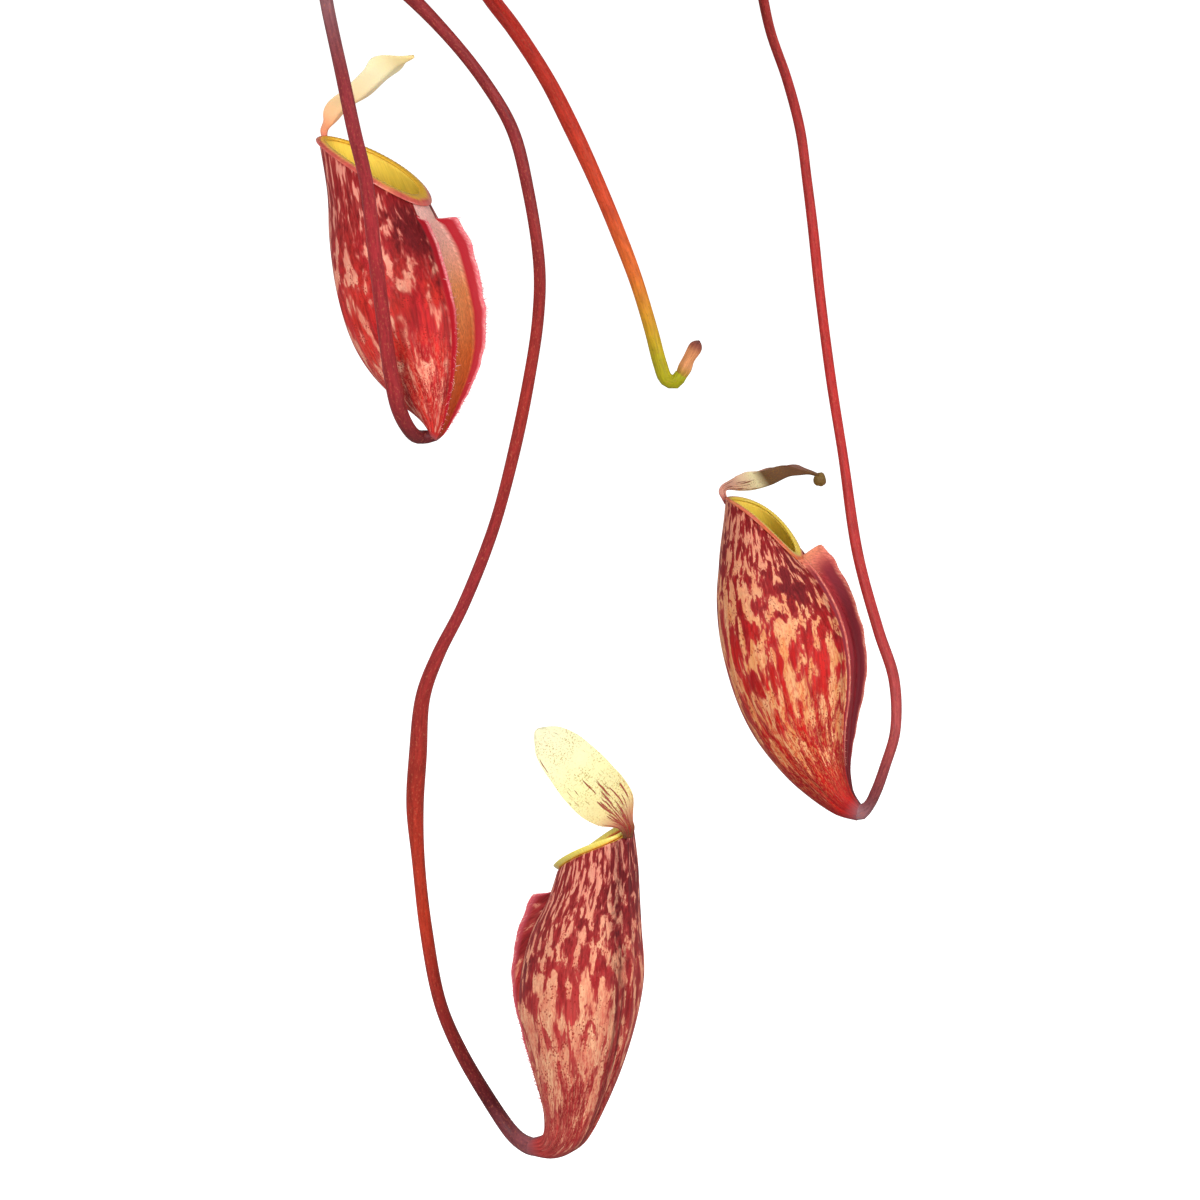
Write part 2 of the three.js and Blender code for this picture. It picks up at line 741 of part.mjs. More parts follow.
const LOW_PITCHER = {
  base: [3.3, -25, -703],
  azimuth: 140,
  roll: -12,
  saddle: 1.8,
  lip: [1.3, 76],
  stations: [
    [0.1, -2.7, -0.2, 2.4, 1],
    [-10, -1.5, -6.1, 5.5, 1],
    [-20.2, 5, -9, 12.3, 0.96],
    [-28.8, 17.6, -9.5, 19.6, 0.95],
    [-36, 30.6, -9.4, 29.6, 0.95],
    [-41.9, 43.6, -9.5, 40.1, 0.95],
    [-45.9, 56.9, -10.3, 50.3, 0.95],
    [-47.5, 70.2, -12.9, 61.1, 0.93],
    [-48.7, 82, -17.5, 71.2, 0.92],
    [-50.6, 92.5, -24, 80.6, 0.86],
    [-51.4, 101.7, -28.9, 88.8, 0.85],
  ],
  wing: [0, 0, 0.6, 1.2, 1.8, 2.4, 3, 3.6, 4.2, 4.8, 0],
  otherWing: [22, 1],
  lid: {
    start: [-1.2, 2.9],
    line: [[0, 0], [3.9, 5], [10.1, 10], [16.7, 16.2], [22.9, 21.2], [27.7, 24.3]],
    roll: -45,
    halfWidths: [2.2, 6.1, 7.6, 7.9, 7.8, 7.3, 6.6, 4.9, 1.5],
    fold: 0.12,
  },
};

// ---------- the plant ----------

const LOW_LEAF_Z = -266;
const HIGH_LEAF_Z = -255;
const YOUNG_LEAF_Z = -241;

// Each leaf: the direction it leaves the stem in, its height there, its rise and its tip.
const LEAVES = {
  leaf_1: { azimuth: 250, height: LOW_LEAF_Z, rise: 12, tip: [-52, -125, -345], phase: 1 },
  leaf_2: { azimuth: 197, height: HIGH_LEAF_Z, rise: 20, tip: [-118, -40, -298], phase: 2 },
  leaf_3: { azimuth: 107, height: HIGH_LEAF_Z, rise: 18, tip: [-30, 112, -330], phase: 3 },
  leaf_4: { azimuth: 67, height: LOW_LEAF_Z, rise: 12, tip: [60, 108, -335], phase: 4 },
  leaf_5: {
    azimuth: 342, height: LOW_LEAF_Z, rise: 12, tip: [121, -46, -318], size: 0.92, phase: 5,
  },
  leaf_6: {
    azimuth: 292, height: HIGH_LEAF_Z, rise: 22, tip: [44, -112, -312], size: 0.95, phase: 6,
  },
  leaf_7: {
    azimuth: 158, height: LOW_LEAF_Z, rise: 13, tip: [-112, 50, -316], size: 0.88, phase: 7,
  },
  leaf_8: {
    azimuth: 20, height: HIGH_LEAF_Z, rise: 23, tip: [120, 38, -288], size: 0.97, phase: 8,
  },
  leaf_9: { azimuth: 88, height: YOUNG_LEAF_Z, size: 0.62, phase: 9 },
  leaf_10: { azimuth: 262, height: YOUNG_LEAF_Z - 4, size: 0.7, phase: 10 },
};

const leafEnds = {};

function leaves() {
  for (const [name, shape] of Object.entries(LEAVES)) leafEnds[name] = leaf(name, shape);
}

// The three tendrils that carry pitchers and the one that carries the bud, by hand from leaf to end.
const TENDRIL_1 = [
  [-49, -131, -363, 1.7],
  [-46, -130, -379, 1.7],
  [-43, -121, -396, 1.8],
  [-40.5, -115, -410, 1.8],
  [-37.8, -107, -424, 1.8],
  [-36.2, -101, -441, 1.8],
  [-34.6, -95, -457, 1.9],
  [-33, -90, -472, 2],
  [-30.8, -85.5, -485, 2.1],
  [-28.6, -81.5, -491, 1.95],
  [-26.4, -77.6, -494.2, 1.9],
  [-24.4, -75.4, -494.8, 1.85],
  [-22.6, -75.5, -494.3, 1.8],
];
const TENDRIL_2 = [
  [-127, -62, -314, 1.7],
  [-117, -84, -328, 1.8],
  [-93, -100, -342, 1.8],
  [-65, -106, -353, 1.9],
  [-44, -106, -363, 1.9],
  [-30, -105, -373, 2],
  [-17.9, -104, -385, 1.65],
  [-7.6, -102, -398, 1.6],
  [-0.2, -100, -411, 1.6],
  [3.8, -98.5, -427, 1.6],
  [6.6, -95.5, -447, 1.6],
  [6.2, -91.5, -461, 1.6],
  [3.7, -87, -478, 1.6],
  [-0.6, -82, -499, 1.6],
  [-6.1, -74, -520, 1.6],
  [-14.4, -66, -542, 1.7],
  [-21.3, -61, -556.4, 1.8],
  [-25.6, -55.5, -569, 2],
  [-27.2, -50.5, -586, 2.5],
  [-28.2, -46, -601, 2.4],
  [-27.6, -42, -616, 1.9],
  [-25.7, -35, -638.5, 1.8],
  [-22.1, -28, -661, 1.8],
  [-16.6, -22, -676.5, 1.9],
  [-9, -18.5, -691, 2.1],
  [-2.8, -20, -700, 2.3],
  [0, -22.2, -702.2, 2.4],
  [2.8, -24.6, -703, 2.4],
];
const TENDRIL_3 = [
  [-29, 118, -353, 2],
  [-20, 113.5, -376, 2.3],
  [-10, 107.5, -391, 2.4],
  [-2.5, 104, -400.6, 2.4],
  [6.8, 103.6, -415, 2.4],
  [14.5, 103, -430, 2.4],
  [21.2, 102.7, -444.5, 2.3],
  [27.4, 102.2, -459.3, 2.2],
  [33, 101.8, -474, 2.1],
  [37.5, 101.3, -488.8, 2.1],
  [40.2, 101, -499, 2.1],
  [42, 100.8, -503.4, 2.1],
  [44.6, 100.6, -504.2, 2.1],
  [46.4, 100.5, -502, 1.9],
];
const TENDRIL_4 = [
  [64, 113, -360, 1.5],
  [68.6, 104, -383, 1.5],
  [72.1, 98, -400.1, 1.5],
  [77.1, 95.5, -414.5, 1.5],
  [80.9, 93, -428.9, 1.5],
  [82.9, 90.5, -443.3, 1.5],
  [84.7, 88, -457.7, 1.5],
  [86.5, 82.5, -475, 1.5],
  [89.7, 74.5, -500, 1.5],
  [93, 67.8, -521, 1.5],
  [97.2, 58.8, -549, 1.6],
  [102.9, 50, -569.7, 1.6],
  [107.2, 43, -583, 1.65],
  [107.4, 38, -597, 1.6],
  [104.8, 39, -607, 1.55],
  [102.2, 41.5, -615.5, 1.6],
  [100, 43.6, -620.4, 1.7],
  [99.2, 44.4, -621.8, 1.75],
];

function tendrils() {
  tendril("tendril_1", leafEnds.leaf_1, TENDRIL_1);
  tendril("tendril_2", leafEnds.leaf_2, TENDRIL_2);
  tendril("tendril_3", leafEnds.leaf_3, TENDRIL_3);
  tendril("tendril_4", leafEnds.leaf_4, TENDRIL_4);
  for (const n of [5, 6, 7, 8])
    youngTendril(`tendril_${n}`, leafEnds[`leaf_${n}`], 22);
}

// The unopened pitcher at the end of the third tendril.
function bud() {
  const points = [
    [46.95, 100.5, -501.3, 1.9],
    [47.5, 100.4, -500, 2],
    [48.6, 100.3, -497.4, 1.9],
    [50.4, 100.1, -494.2, 2],
    [51.8, 100, -491.6, 1.2],
  ];
  const { line, radii } = route(points);
  add("bud", tube(line, radii, TENDRIL_SIDES), "bud");
}

basket();
hook();
wires();
moss();
stem();
leaves();
tendrils();
bud();
pitcher("left_pitcher", LEFT_PITCHER);
pitcher("right_pitcher", RIGHT_PITCHER);
pitcher("low_pitcher", LOW_PITCHER);

export default plant;
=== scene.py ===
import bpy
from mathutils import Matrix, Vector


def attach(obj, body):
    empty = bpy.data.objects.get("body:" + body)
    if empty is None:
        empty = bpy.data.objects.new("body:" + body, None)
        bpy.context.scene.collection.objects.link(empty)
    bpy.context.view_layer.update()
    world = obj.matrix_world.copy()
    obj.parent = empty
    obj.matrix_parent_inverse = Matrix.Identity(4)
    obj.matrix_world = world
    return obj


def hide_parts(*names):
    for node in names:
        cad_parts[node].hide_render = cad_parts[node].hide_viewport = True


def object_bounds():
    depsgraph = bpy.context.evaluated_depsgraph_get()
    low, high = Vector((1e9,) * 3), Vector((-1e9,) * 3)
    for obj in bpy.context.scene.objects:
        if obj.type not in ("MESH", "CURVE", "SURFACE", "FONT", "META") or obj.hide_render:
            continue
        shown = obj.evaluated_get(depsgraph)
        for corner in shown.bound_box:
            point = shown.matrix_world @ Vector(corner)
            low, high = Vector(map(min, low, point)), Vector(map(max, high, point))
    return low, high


bl_info = {
    "name": "Hanging Pitcher Plant",
    "version": (1, 0, 0), "blender": (4, 5, 0),
    "location": "3D View > Sidebar > Pitcher Plant",
    "description": "Builds a hanging pitcher plant in a slatted basket",
    "category": "Object",
}

from functools import partial

import bpy
import numpy as np
from mathutils import Vector

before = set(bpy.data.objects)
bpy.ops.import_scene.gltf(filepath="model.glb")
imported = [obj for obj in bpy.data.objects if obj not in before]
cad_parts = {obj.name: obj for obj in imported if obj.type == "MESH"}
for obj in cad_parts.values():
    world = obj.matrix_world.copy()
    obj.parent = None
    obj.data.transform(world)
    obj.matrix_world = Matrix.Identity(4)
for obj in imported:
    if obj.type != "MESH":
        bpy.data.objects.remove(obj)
cad_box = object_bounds()

MM = 0.001
BODY = "root"

# How finely surfaces are divided.
SPAN_SAMPLES = 24  # in each span of a curve while its length is measured
CUP_RINGS = 150
CUP_RINGS_INSIDE = 46
LIP_STEP = 1.5  # degrees
LEAF_RINGS = 130
LID_RINGS = 90
TENDRIL_STEP = 1.4  # millimetres

# The same sizes as the solids, in millimetres.
STEM_RADIUS = 5
STEM_TOP_Z = -236
STEM_DEPTH = 40  # how far it goes into the moss
OLD_LEAF_HEIGHTS = (-280, -292, -304)  # rings where leaves have dropped
SPEAR_TOP_Z = -200
SPEAR_RADIUS = 2
BASKET_WIDTH = 150
BASKET_FOOT_Z = -370
SLAT_HEIGHT = 14
SLAT_THICKNESS = 10
SLAT_LAYERS = 6
FLOOR_SLAT_HEIGHT = 8
RIM_Z = BASKET_FOOT_Z + SLAT_LAYERS * SLAT_HEIGHT
SLAT_MIDDLE = BASKET_WIDTH / 2 - SLAT_THICKNESS / 2
MOSS_MOUND = 12
WIRE_RADIUS = 1
WIRE_FOOT = 9
HOOK_WIRE_RADIUS = 1.75
HOOK_TOP_RADIUS = 12.75
HOOK_LOW_RADIUS = 8.5
HOOK_LOW_CENTRE_Z = -44
EYE_RADIUS = 3.6
EYE_PITCH = 3.9  # from one wire's eye to the next along the bight
CUP_WALL = 1.2
CUP_DEEPEST = 0.26  # the level of the floor inside
WING_ANGLE = 22  # degrees from the front

# Finer shapes and the pattern's layout, which the solids don't have.
WING_HALF_ANGLE = 2.6  # half of a wing's thickness, as an angle round the pitcher
SWELL_HEIGHT = 0.35  # slow bulges of a pitcher's wall
RIB_HEIGHT = 0.09
RIBS = 22  # round a pitcher
KEEL_HEIGHT = 0.5  # down a pitcher's back
LIP_RIB_HEIGHT = 0.06
LIP_RIBS = 80
MOSS_BULGE = 2.5  # how far the moss swells into the basket's gaps
GRAIN_RADIUS = 18  # every pitcher's pattern is laid out on a straight cylinder of this radius

# Each pitcher. Its own frame has its front along +X, and its levels run from 0 at the base to 1 at the mouth.
# base, azimuth, roll: where it hangs, how it is turned and how it leans sideways, in degrees.
# saddle: how far the mouth's sides rise. lip: half width, tilt and colours from inside to outside.
# stations: from base to mouth, each with back x, back z, front x, front z and width over depth.
# wing: its height at even levels. wing_top: the level where it ends. other_wing: the angle, and the
# share of that height, of the wing on the -Y side. dull: how much colour that wing has lower down.
# wing_tints: foot, edge and flecks. wing_from: how high on a wing they start. ear: how much of the
# face's colour a wing takes near the mouth. hair: the length of the hairs.
# skin_tints: deep red, bright red, dark cream and light cream. face: the colours between the wings.
# lines: the strengths of the dark lines beside the wings and behind, the breadth and the angle of the
# one behind, and how much redder the skin is beside it. pattern: scale, detail and softness of the patches.
# red_foot: fewer patches near the base. patches, high: more of them halfway up and above that.
# bare: the angle and the level of a maroon area. pink: how pink the cream is. seed: where noises start.
# lid: the hinge's place from the back of the mouth, the middle line from there, the roll about it, half
# widths from root to tip, the fold, the colours above and under, and the strengths of veins and specks.
PITCHERS = {
    "left_pitcher": {
        "base": (-21.6, -76, -494.2), "azimuth": -38, "roll": -7, "saddle": 1,
        "lip": (1.6, 12, "#ecb838", "#e88a60", "#d05a50"),
        "stations": (
            (-1, 1.4, 0.9, -1.4, 1), (-3.8, 4.1, 2.6, 1.4, 1), (-9.6, 7.1, 4.8, 7.4, 0.96),
            (-14.6, 10.3, 6.3, 13.3, 0.93), (-19.8, 15.1, 7.1, 19.6, 0.93), (-25, 21.4, 7.2, 26.1, 0.93),
            (-29.6, 29.1, 6.1, 33.5, 0.93), (-33.5, 38.2, 2.9, 41.1, 0.92),
            (-36.6, 49.6, -1.4, 49.3, 0.9), (-39.5, 62, -6.8, 55.8, 0.8), (-44.8, 75.9, -10.9, 61.2, 0.6),
        ),
        "wing": (0, 0.6, 1.4, 2, 2.8, 3.7, 4.2, 4.6, 4.9, 5.2, 5.2), "wing_top": 0.92,
        "other_wing": (14, 0.55), "wing_tints": ("#b01c28", "#e4707a", "#f4beb4"), "dull": 0.72,
        "wing_from": 0.05, "ear": 0.0, "skin_tints": ("#b42226", "#da3428", "#ea8a70", "#fab898"),
        "lines": (0.95, 0.7, 5, 180, 0), "pattern": (0.29, 2.5, 0.09), "red_foot": 0.01,
        "face": {
            0: "#9a2c20", 0.2: "#b4441e", 0.45: "#d0642e", 0.68: "#e28e58", 0.84: "#f0b4a4", 1: "#ecb8b0",
        },
        "hair": 0.9,
        "lid": {
            "start": (-0.4, 2.3),
            "line": (
                (0, 0), (1.8, 2.1), (4.4, 5.3), (11.2, 9.3), (18.4, 14.9), (22.8, 18.3), (25.8, 19.7),
                (28.8, 21.1),
            ),
            "roll": -12, "half_widths": (1.3, 3.2, 4.1, 4.2, 4.5, 4.9, 5.4, 2.8, 0.7), "fold": 0.5,
            # These creams, above and under, are the lid's own cream painted lighter still, as painted light
            # through the thin lid.
            "tints": {0: "#b84a3c", 0.1: "#f0a070", 0.25: "#ffd49c", 0.7: "#fff0bc", 1: "#fadc94"},
            "under": {0: "#b84a3c", 0.12: "#f2a67a", 0.3: "#ffd8a4", 0.7: "#fff2c4", 1: "#fadc94"},
            "veins": 0.0, "specks": 0.1,
        },
        "seed": 3.1, "bare": (30, 0.86), "patches": -0.015, "high": -0.01, "pink": 0.2,
    },
    "right_pitcher": {
        "base": (97.5, 45, -622.3), "azimuth": -18, "roll": -5, "saddle": 3.2,
        "lip": (1.2, 12, "#e0c03c", "#e08c48", "#d0603c"),
        "stations": (
            (-0.5, -2.6, 0.5, 2.2, 1), (-6.8, -1.2, -2.1, 6.1, 1), (-14.6, 3.6, -3.7, 12.4, 1),
            (-23.3, 10.6, -4.1, 19.1, 1), (-31.6, 20.2, -3.9, 27, 1), (-38.1, 32.5, -3.3, 35.9, 1),
            (-42.5, 46.1, -3.7, 45.5, 1), (-44.1, 59.2, -6.2, 55.1, 0.99),
            (-43.8, 70.8, -11.3, 64.2, 0.98), (-42.9, 81.2, -16.6, 69.8, 0.9),
            (-42.6, 89, -20.5, 72.6, 0.7),
        ),
        "wing": (0, 0, 0.6, 1.2, 2.2, 3.2, 3.8, 4.2, 5.1, 6.2, 6.2), "wing_top": 0.975,
        "other_wing": (14, 0.3), "wing_tints": ("#842832", "#cc6258", "#f0ac90"), "dull": 1,
        "wing_from": 0.05, "ear": 0.9, "skin_tints": ("#a0181c", "#cc1e18", "#e2965c", "#f2b684"),
        "lines": (0.85, 0.6, 5, 180, 0), "pattern": (0.34, 4.0, 0.05), "red_foot": 0.14,
        "face": {
            0: "#6a2024", 0.3: "#8a2029", 0.7: "#a42a34", 0.84: "#b83e42", 0.91: "#dc7c66", 1: "#e69c70",
        },
        "hair": 0.35,
        "lid": {
            "start": (-0.5, 2.5),
            "line": (
                (0, 0), (4.5, 0.2), (8.3, 0.6), (13.7, 2.3), (19, 4.9), (22.1, 5.4), (25.1, 5.7),
                (28.5, 4.9),
            ),
            "roll": 0, "half_widths": (1.5, 4.4, 5.5, 5.5, 5, 4, 2.9, 1.2, 0.6), "fold": 0.9,
            "tints": {
                0: "#a04c4c", 0.2: "#cc8c82", 0.45: "#b88a76", 0.55: "#5e3e38", 0.8: "#7c5248",
                1: "#54381c",
            },
            "under": {
                0: "#b8605a", 0.2: "#fac8ae", 0.42: "#fbeebc", 0.52: "#6c4e34", 0.8: "#74503c",
                1: "#54381c",
            },
            "veins": 0.8, "specks": 0.8,
        },
        "seed": 11.7, "bare": (52, 0.8), "patches": 0.04, "high": 0.03, "pink": 0.0,
    },
    "low_pitcher": {
        "base": (3.3, -25, -703), "azimuth": 140, "roll": -12, "saddle": 1.8,
        "lip": (1.1, 76, "#e4d060", "#e2c04c", "#cc5428"),
        "stations": (
            (0.1, -2.7, -0.2, 2.4, 1), (-10, -1.5, -6.1, 5.5, 1), (-20.2, 5, -9, 12.3, 0.96),
            (-28.8, 17.6, -9.5, 19.6, 0.95), (-36, 30.6, -9.4, 29.6, 0.95),
            (-41.9, 43.6, -9.5, 40.1, 0.95), (-45.9, 56.9, -10.3, 50.3, 0.95),
            (-47.5, 70.2, -12.9, 61.1, 0.93), (-48.7, 82, -17.5, 71.2, 0.92),
            (-50.6, 92.5, -24, 80.6, 0.86), (-51.4, 101.7, -28.9, 88.8, 0.85),
        ),
        "wing": (0, 0, 0.6, 1.2, 1.8, 2.4, 3, 3.6, 4.2, 4.8, 4.8), "wing_top": 0.93,
        "other_wing": (22, 1), "wing_tints": ("#b84450", "#d8606a", "#eeaca4"), "dull": 1,
        "wing_from": 0.5, "ear": 0.0, "skin_tints": ("#a42a2c", "#c84440", "#e88e70", "#fabc92"),
        "lines": (0.15, 1, 8, 166, 0.07), "pattern": (0.34, 4.0, 0.06), "red_foot": 0.1,
        "face": {0: "#8a3034", 0.3: "#b05048", 0.7: "#c06a5c", 0.9: "#b87868", 1: "#b07c68"},
        "hair": 0.7,
        "lid": {
            "start": (-1.2, 2.9),
            "line": ((0, 0), (3.9, 5), (10.1, 10), (16.7, 16.2), (22.9, 21.2), (27.7, 24.3)),
            "roll": -45, "half_widths": (2.2, 6.1, 7.6, 7.9, 7.8, 7.3, 6.6, 4.9, 1.5), "fold": 0.12,
            "tints": {
                0: "#5c3a24", 0.07: "#7c3a2c", 0.13: "#b06c50", 0.24: "#dac688", 0.5: "#e3dea2",
                1: "#eae8c0",
            },
            "under": {
                0: "#5c3a24", 0.07: "#7c3a2c", 0.13: "#a86448", 0.24: "#d8c284", 0.5: "#e3dea2",
                1: "#eae8c0",
            },
            "veins": 1.0, "specks": 1.0,
        },
        "seed": 23.9, "bare": (56, 0.68), "patches": 0.06, "high": 0.015, "pink": 0.0,
    },
}

# Each leaf: the direction it leaves the stem in, its height there, its rise, its tip and its size.
LEAVES = {
    "leaf_1": (250, -266, 12, (-52, -125, -345), 1),
    "leaf_2": (197, -255, 20, (-118, -40, -298), 1),
    "leaf_3": (107, -255, 18, (-30, 112, -330), 1),
    "leaf_4": (67, -266, 12, (60, 108, -335), 1),
    "leaf_5": (342, -266, 12, (121, -46, -318), 0.92),
    "leaf_6": (292, -255, 22, (44, -112, -312), 0.95),
    "leaf_7": (158, -266, 13, (-112, 50, -316), 0.88),
    "leaf_8": (20, -255, 23, (120, 38, -288), 0.97),
    "leaf_9": (88, -241, 0, None, 0.62), "leaf_10": (262, -245, 0, None, 0.7),
}
LEAF_HALF_WIDTHS = (3, 3.4, 6.5, 12, 16.5, 19, 20, 19.5, 17.5, 14.5, 10.5, 6, 2.4)

# Tendrils, from near the leaf's tip to the pitcher: x, y, z and radius.
TENDRILS = {
    "tendril_1": (
        (-49, -131, -363, 1.7), (-46, -130, -379, 1.7), (-43, -121, -396, 1.8), (-40.5, -115, -410, 1.8),
        (-37.8, -107, -424, 1.8), (-36.2, -101, -441, 1.8), (-34.6, -95, -457, 1.9), (-33, -90, -472, 2),
        (-30.8, -85.5, -485, 2.1), (-28.6, -81.5, -491, 1.95), (-26.4, -77.6, -494.2, 1.9),
        (-24.4, -75.4, -494.8, 1.85), (-22.6, -75.5, -494.3, 1.8),
    ),
    "tendril_2": (
        (-127, -62, -314, 1.7), (-117, -84, -328, 1.8), (-93, -100, -342, 1.8), (-65, -106, -353, 1.9),
        (-44, -106, -363, 1.9), (-30, -105, -373, 2), (-17.9, -104, -385, 1.65), (-7.6, -102, -398, 1.6),
        (-0.2, -100, -411, 1.6), (3.8, -98.5, -427, 1.6), (6.6, -95.5, -447, 1.6),
        (6.2, -91.5, -461, 1.6), (3.7, -87, -478, 1.6), (-0.6, -82, -499, 1.6), (-6.1, -74, -520, 1.6),
        (-14.4, -66, -542, 1.7), (-21.3, -61, -556.4, 1.8), (-25.6, -55.5, -569, 2),
        (-27.2, -50.5, -586, 2.5), (-28.2, -46, -601, 2.4), (-27.6, -42, -616, 1.9),
        (-25.7, -35, -638.5, 1.8), (-22.1, -28, -661, 1.8), (-16.6, -22, -676.5, 1.9),
        (-9, -18.5, -691, 2.1), (-2.8, -20, -700, 2.3), (0, -22.2, -702.2, 2.4), (2.8, -24.6, -703, 2.4),
    ),
    "tendril_3": (
        (-29, 118, -353, 2), (-20, 113.5, -376, 2.3), (-10, 107.5, -391, 2.4), (-2.5, 104, -400.6, 2.4),
        (6.8, 103.6, -415, 2.4), (14.5, 103, -430, 2.4), (21.2, 102.7, -444.5, 2.3),
        (27.4, 102.2, -459.3, 2.2), (33, 101.8, -474, 2.1), (37.5, 101.3, -488.8, 2.1),
        (40.2, 101, -499, 2.1), (42, 100.8, -503.4, 2.1), (44.6, 100.6, -504.2, 2.1),
        (46.4, 100.5, -502, 1.9),
    ),
    "tendril_4": (
        (64, 113, -360, 1.5), (68.6, 104, -383, 1.5), (72.1, 98, -400.1, 1.5), (77.1, 95.5, -414.5, 1.5),
        (80.9, 93, -428.9, 1.5), (82.9, 90.5, -443.3, 1.5), (84.7, 88, -457.7, 1.5),
        (86.5, 82.5, -475, 1.5), (89.7, 74.5, -500, 1.5), (93, 67.8, -521, 1.5), (97.2, 58.8, -549, 1.6),
        (102.9, 50, -569.7, 1.6), (107.2, 43, -583, 1.65), (107.4, 38, -597, 1.6),
        (104.8, 39, -607, 1.55), (102.2, 41.5, -615.5, 1.6), (100, 43.6, -620.4, 1.7),
        (99.2, 44.4, -621.8, 1.75),
    ),
}
BUD = (
    (46.4, 100.5, -502.4, 1.7), (47.5, 100.4, -500, 2), (48.6, 100.3, -497.4, 1.9),
    (50.4, 100.1, -494.2, 2), (51.6, 100, -492, 1.4),
)

PITCHER_OF = {"tendril_1": "left_pitcher", "tendril_2": "low_pitcher", "tendril_4": "right_pitcher"}
TENDRIL_SIDE = (0.35, 0.9, 0.25)  # a direction that no tendril takes

# The colours along each tendril, from leaf to end.
TENDRIL_TINTS = {
    "tendril_1": {
        # The greyish mauve from 0.12 to 0.24 is a painted highlight near the top of this tendril.
        0: "#66692f", 0.12: "#6c4440", 0.24: "#84565a", 0.36: "#8c3238", 0.6: "#a02c32", 0.85: "#962a2e",
        1: "#5c2226",
    },
    "tendril_2": {
        0: "#66692f", 0.08: "#7c3428", 0.25: "#7e2628", 0.42: "#82282a", 0.55: "#9a2c26", 0.66: "#942c30",
        0.76: "#9c2e24", 0.84: "#bc3822", 0.9: "#962a26", 0.96: "#5c1c22", 1: "#8a4c52",
    },
    "tendril_3": {
        0: "#66692f", 0.12: "#a83a30", 0.35: "#b82c26", 0.6: "#c43624", 0.72: "#d84e2a", 0.82: "#e0702c",
        0.885: "#d89a28", 0.94: "#bcac1c", 1: "#a8a818",
    },
    "tendril_4": {
        0: "#66692f", 0.1: "#943430", 0.3: "#ac302e", 0.6: "#b42c2a", 0.8: "#a83434", 0.92: "#a04444",
        0.97: "#7c3c40", 1: "#9a7076",
    },
}
YOUNG_TINTS = {0: "#66692f", 0.3: "#8f8a34", 0.7: "#b5a13a", 1: "#b8742f"}
BUD_TINTS = {0: "#b09a2c", 0.12: "#c89444", 0.3: "#e49c64", 0.7: "#e09464", 0.86: "#a05844", 1: "#6a3834"}

# The view: from 10 degrees above, 1.6 m away, with 0.28 mm to a pixel at the aim.
AIM = (22.4, 0, -552)
VIEW_DISTANCE = 1600
VIEW_ELEVATION = 10
MM_PER_PIXEL = 0.28
FRAME_PIXELS = 1200
SENSOR = 36


def linear(code):
    """An sRGB hex colour as linear red, green, blue and alpha."""
    parts = [int(code[i : i + 2], 16) / 255 for i in (1, 3, 5)]
    return tuple(c / 12.92 if c <= 0.04045 else ((c + 0.055) / 1.055) ** 2.4 for c in parts) + (1.0,)


def colour(name, text, code):
    """A colour property with its default as an sRGB hex code."""
    return bpy.props.FloatVectorProperty(
        name=name, description=text, subtype="COLOR", size=4, min=0, max=1, default=linear(code)
    )


def number(name, text, default, **limits):
    """A number property of 0 or more."""
    return bpy.props.FloatProperty(name=name, description=text, default=default, min=0, **limits)


def size(name, text, millimetres):
    """A length property in metres with its default in millimetres."""
    return number(name, text, millimetres * MM, unit="LENGTH")


# ---------- shape tools ----------


def curve(points, count):
    """A smooth line through points, as count rows evenly spaced along it.

    Each span is a cubic from one point to the next whose end slopes come from the neighbours,
    weighted by the square root of the distance between them (a centripetal Catmull-Rom spline).
    Columns past the third, such as a radius, are carried along.
    """
    p = np.asarray(points, float)
    p = np.vstack([2 * p[0] - p[1], p, 2 * p[-1] - p[-2]])
    step = np.sqrt(np.linalg.norm(np.diff(p[:, :3], axis=0), axis=1))[:, None]
    a, b, c, d = p[:-3], p[1:-2], p[2:-1], p[3:]
    s0, s1, s2 = step[:-2], step[1:-1], step[2:]
    m1 = ((b - a) / s0 - (c - a) / (s0 + s1) + (c - b) / s1) * s1
    m2 = ((c - b) / s1 - (d - b) / (s1 + s2) + (d - c) / s2) * s1
    f = np.linspace(0, 1, SPAN_SAMPLES, endpoint=False)[:, None, None]
    spans = (
        (2 * f**3 - 3 * f**2 + 1) * b
        + (f**3 - 2 * f**2 + f) * m1
        + (3 * f**2 - 2 * f**3) * c
        + (f**3 - f**2) * m2
    )
    dense = np.vstack([spans.transpose(1, 0, 2).reshape(-1, p.shape[1]), p[-2]])
    arc = lengths(dense[:, :3])
    places = np.linspace(0, arc[-1], count)
    return np.column_stack([np.interp(places, arc, column) for column in dense.T])


def lengths(line):
    """How far along a line each of its points lies."""
    return np.concatenate([[0], np.cumsum(np.linalg.norm(np.diff(line, axis=0), axis=1))])


def circle(count):
    """Angles evenly round a circle."""
    return np.linspace(0, 2 * np.pi, count, endpoint=False)


def unit(vectors):
    """Vectors scaled to length 1 along their last axis."""
    return vectors / np.maximum(np.linalg.norm(vectors, axis=-1, keepdims=True), 1e-9)


def frames(line, side):
    """Directions along a line, to its side and across both.

    The side is the given direction with its part along the line taken out, at each point.
    """
    along = unit(np.gradient(line, axis=0))
    side = unit(side - along * (along @ np.asarray(side, float))[:, None])
    return along, side, np.cross(side, along)


def ramp(values, t):
    """The value of an evenly spaced list at t from 0 to 1, joined by straight lines."""
    return np.interp(t, np.linspace(0, 1, len(values)), values)


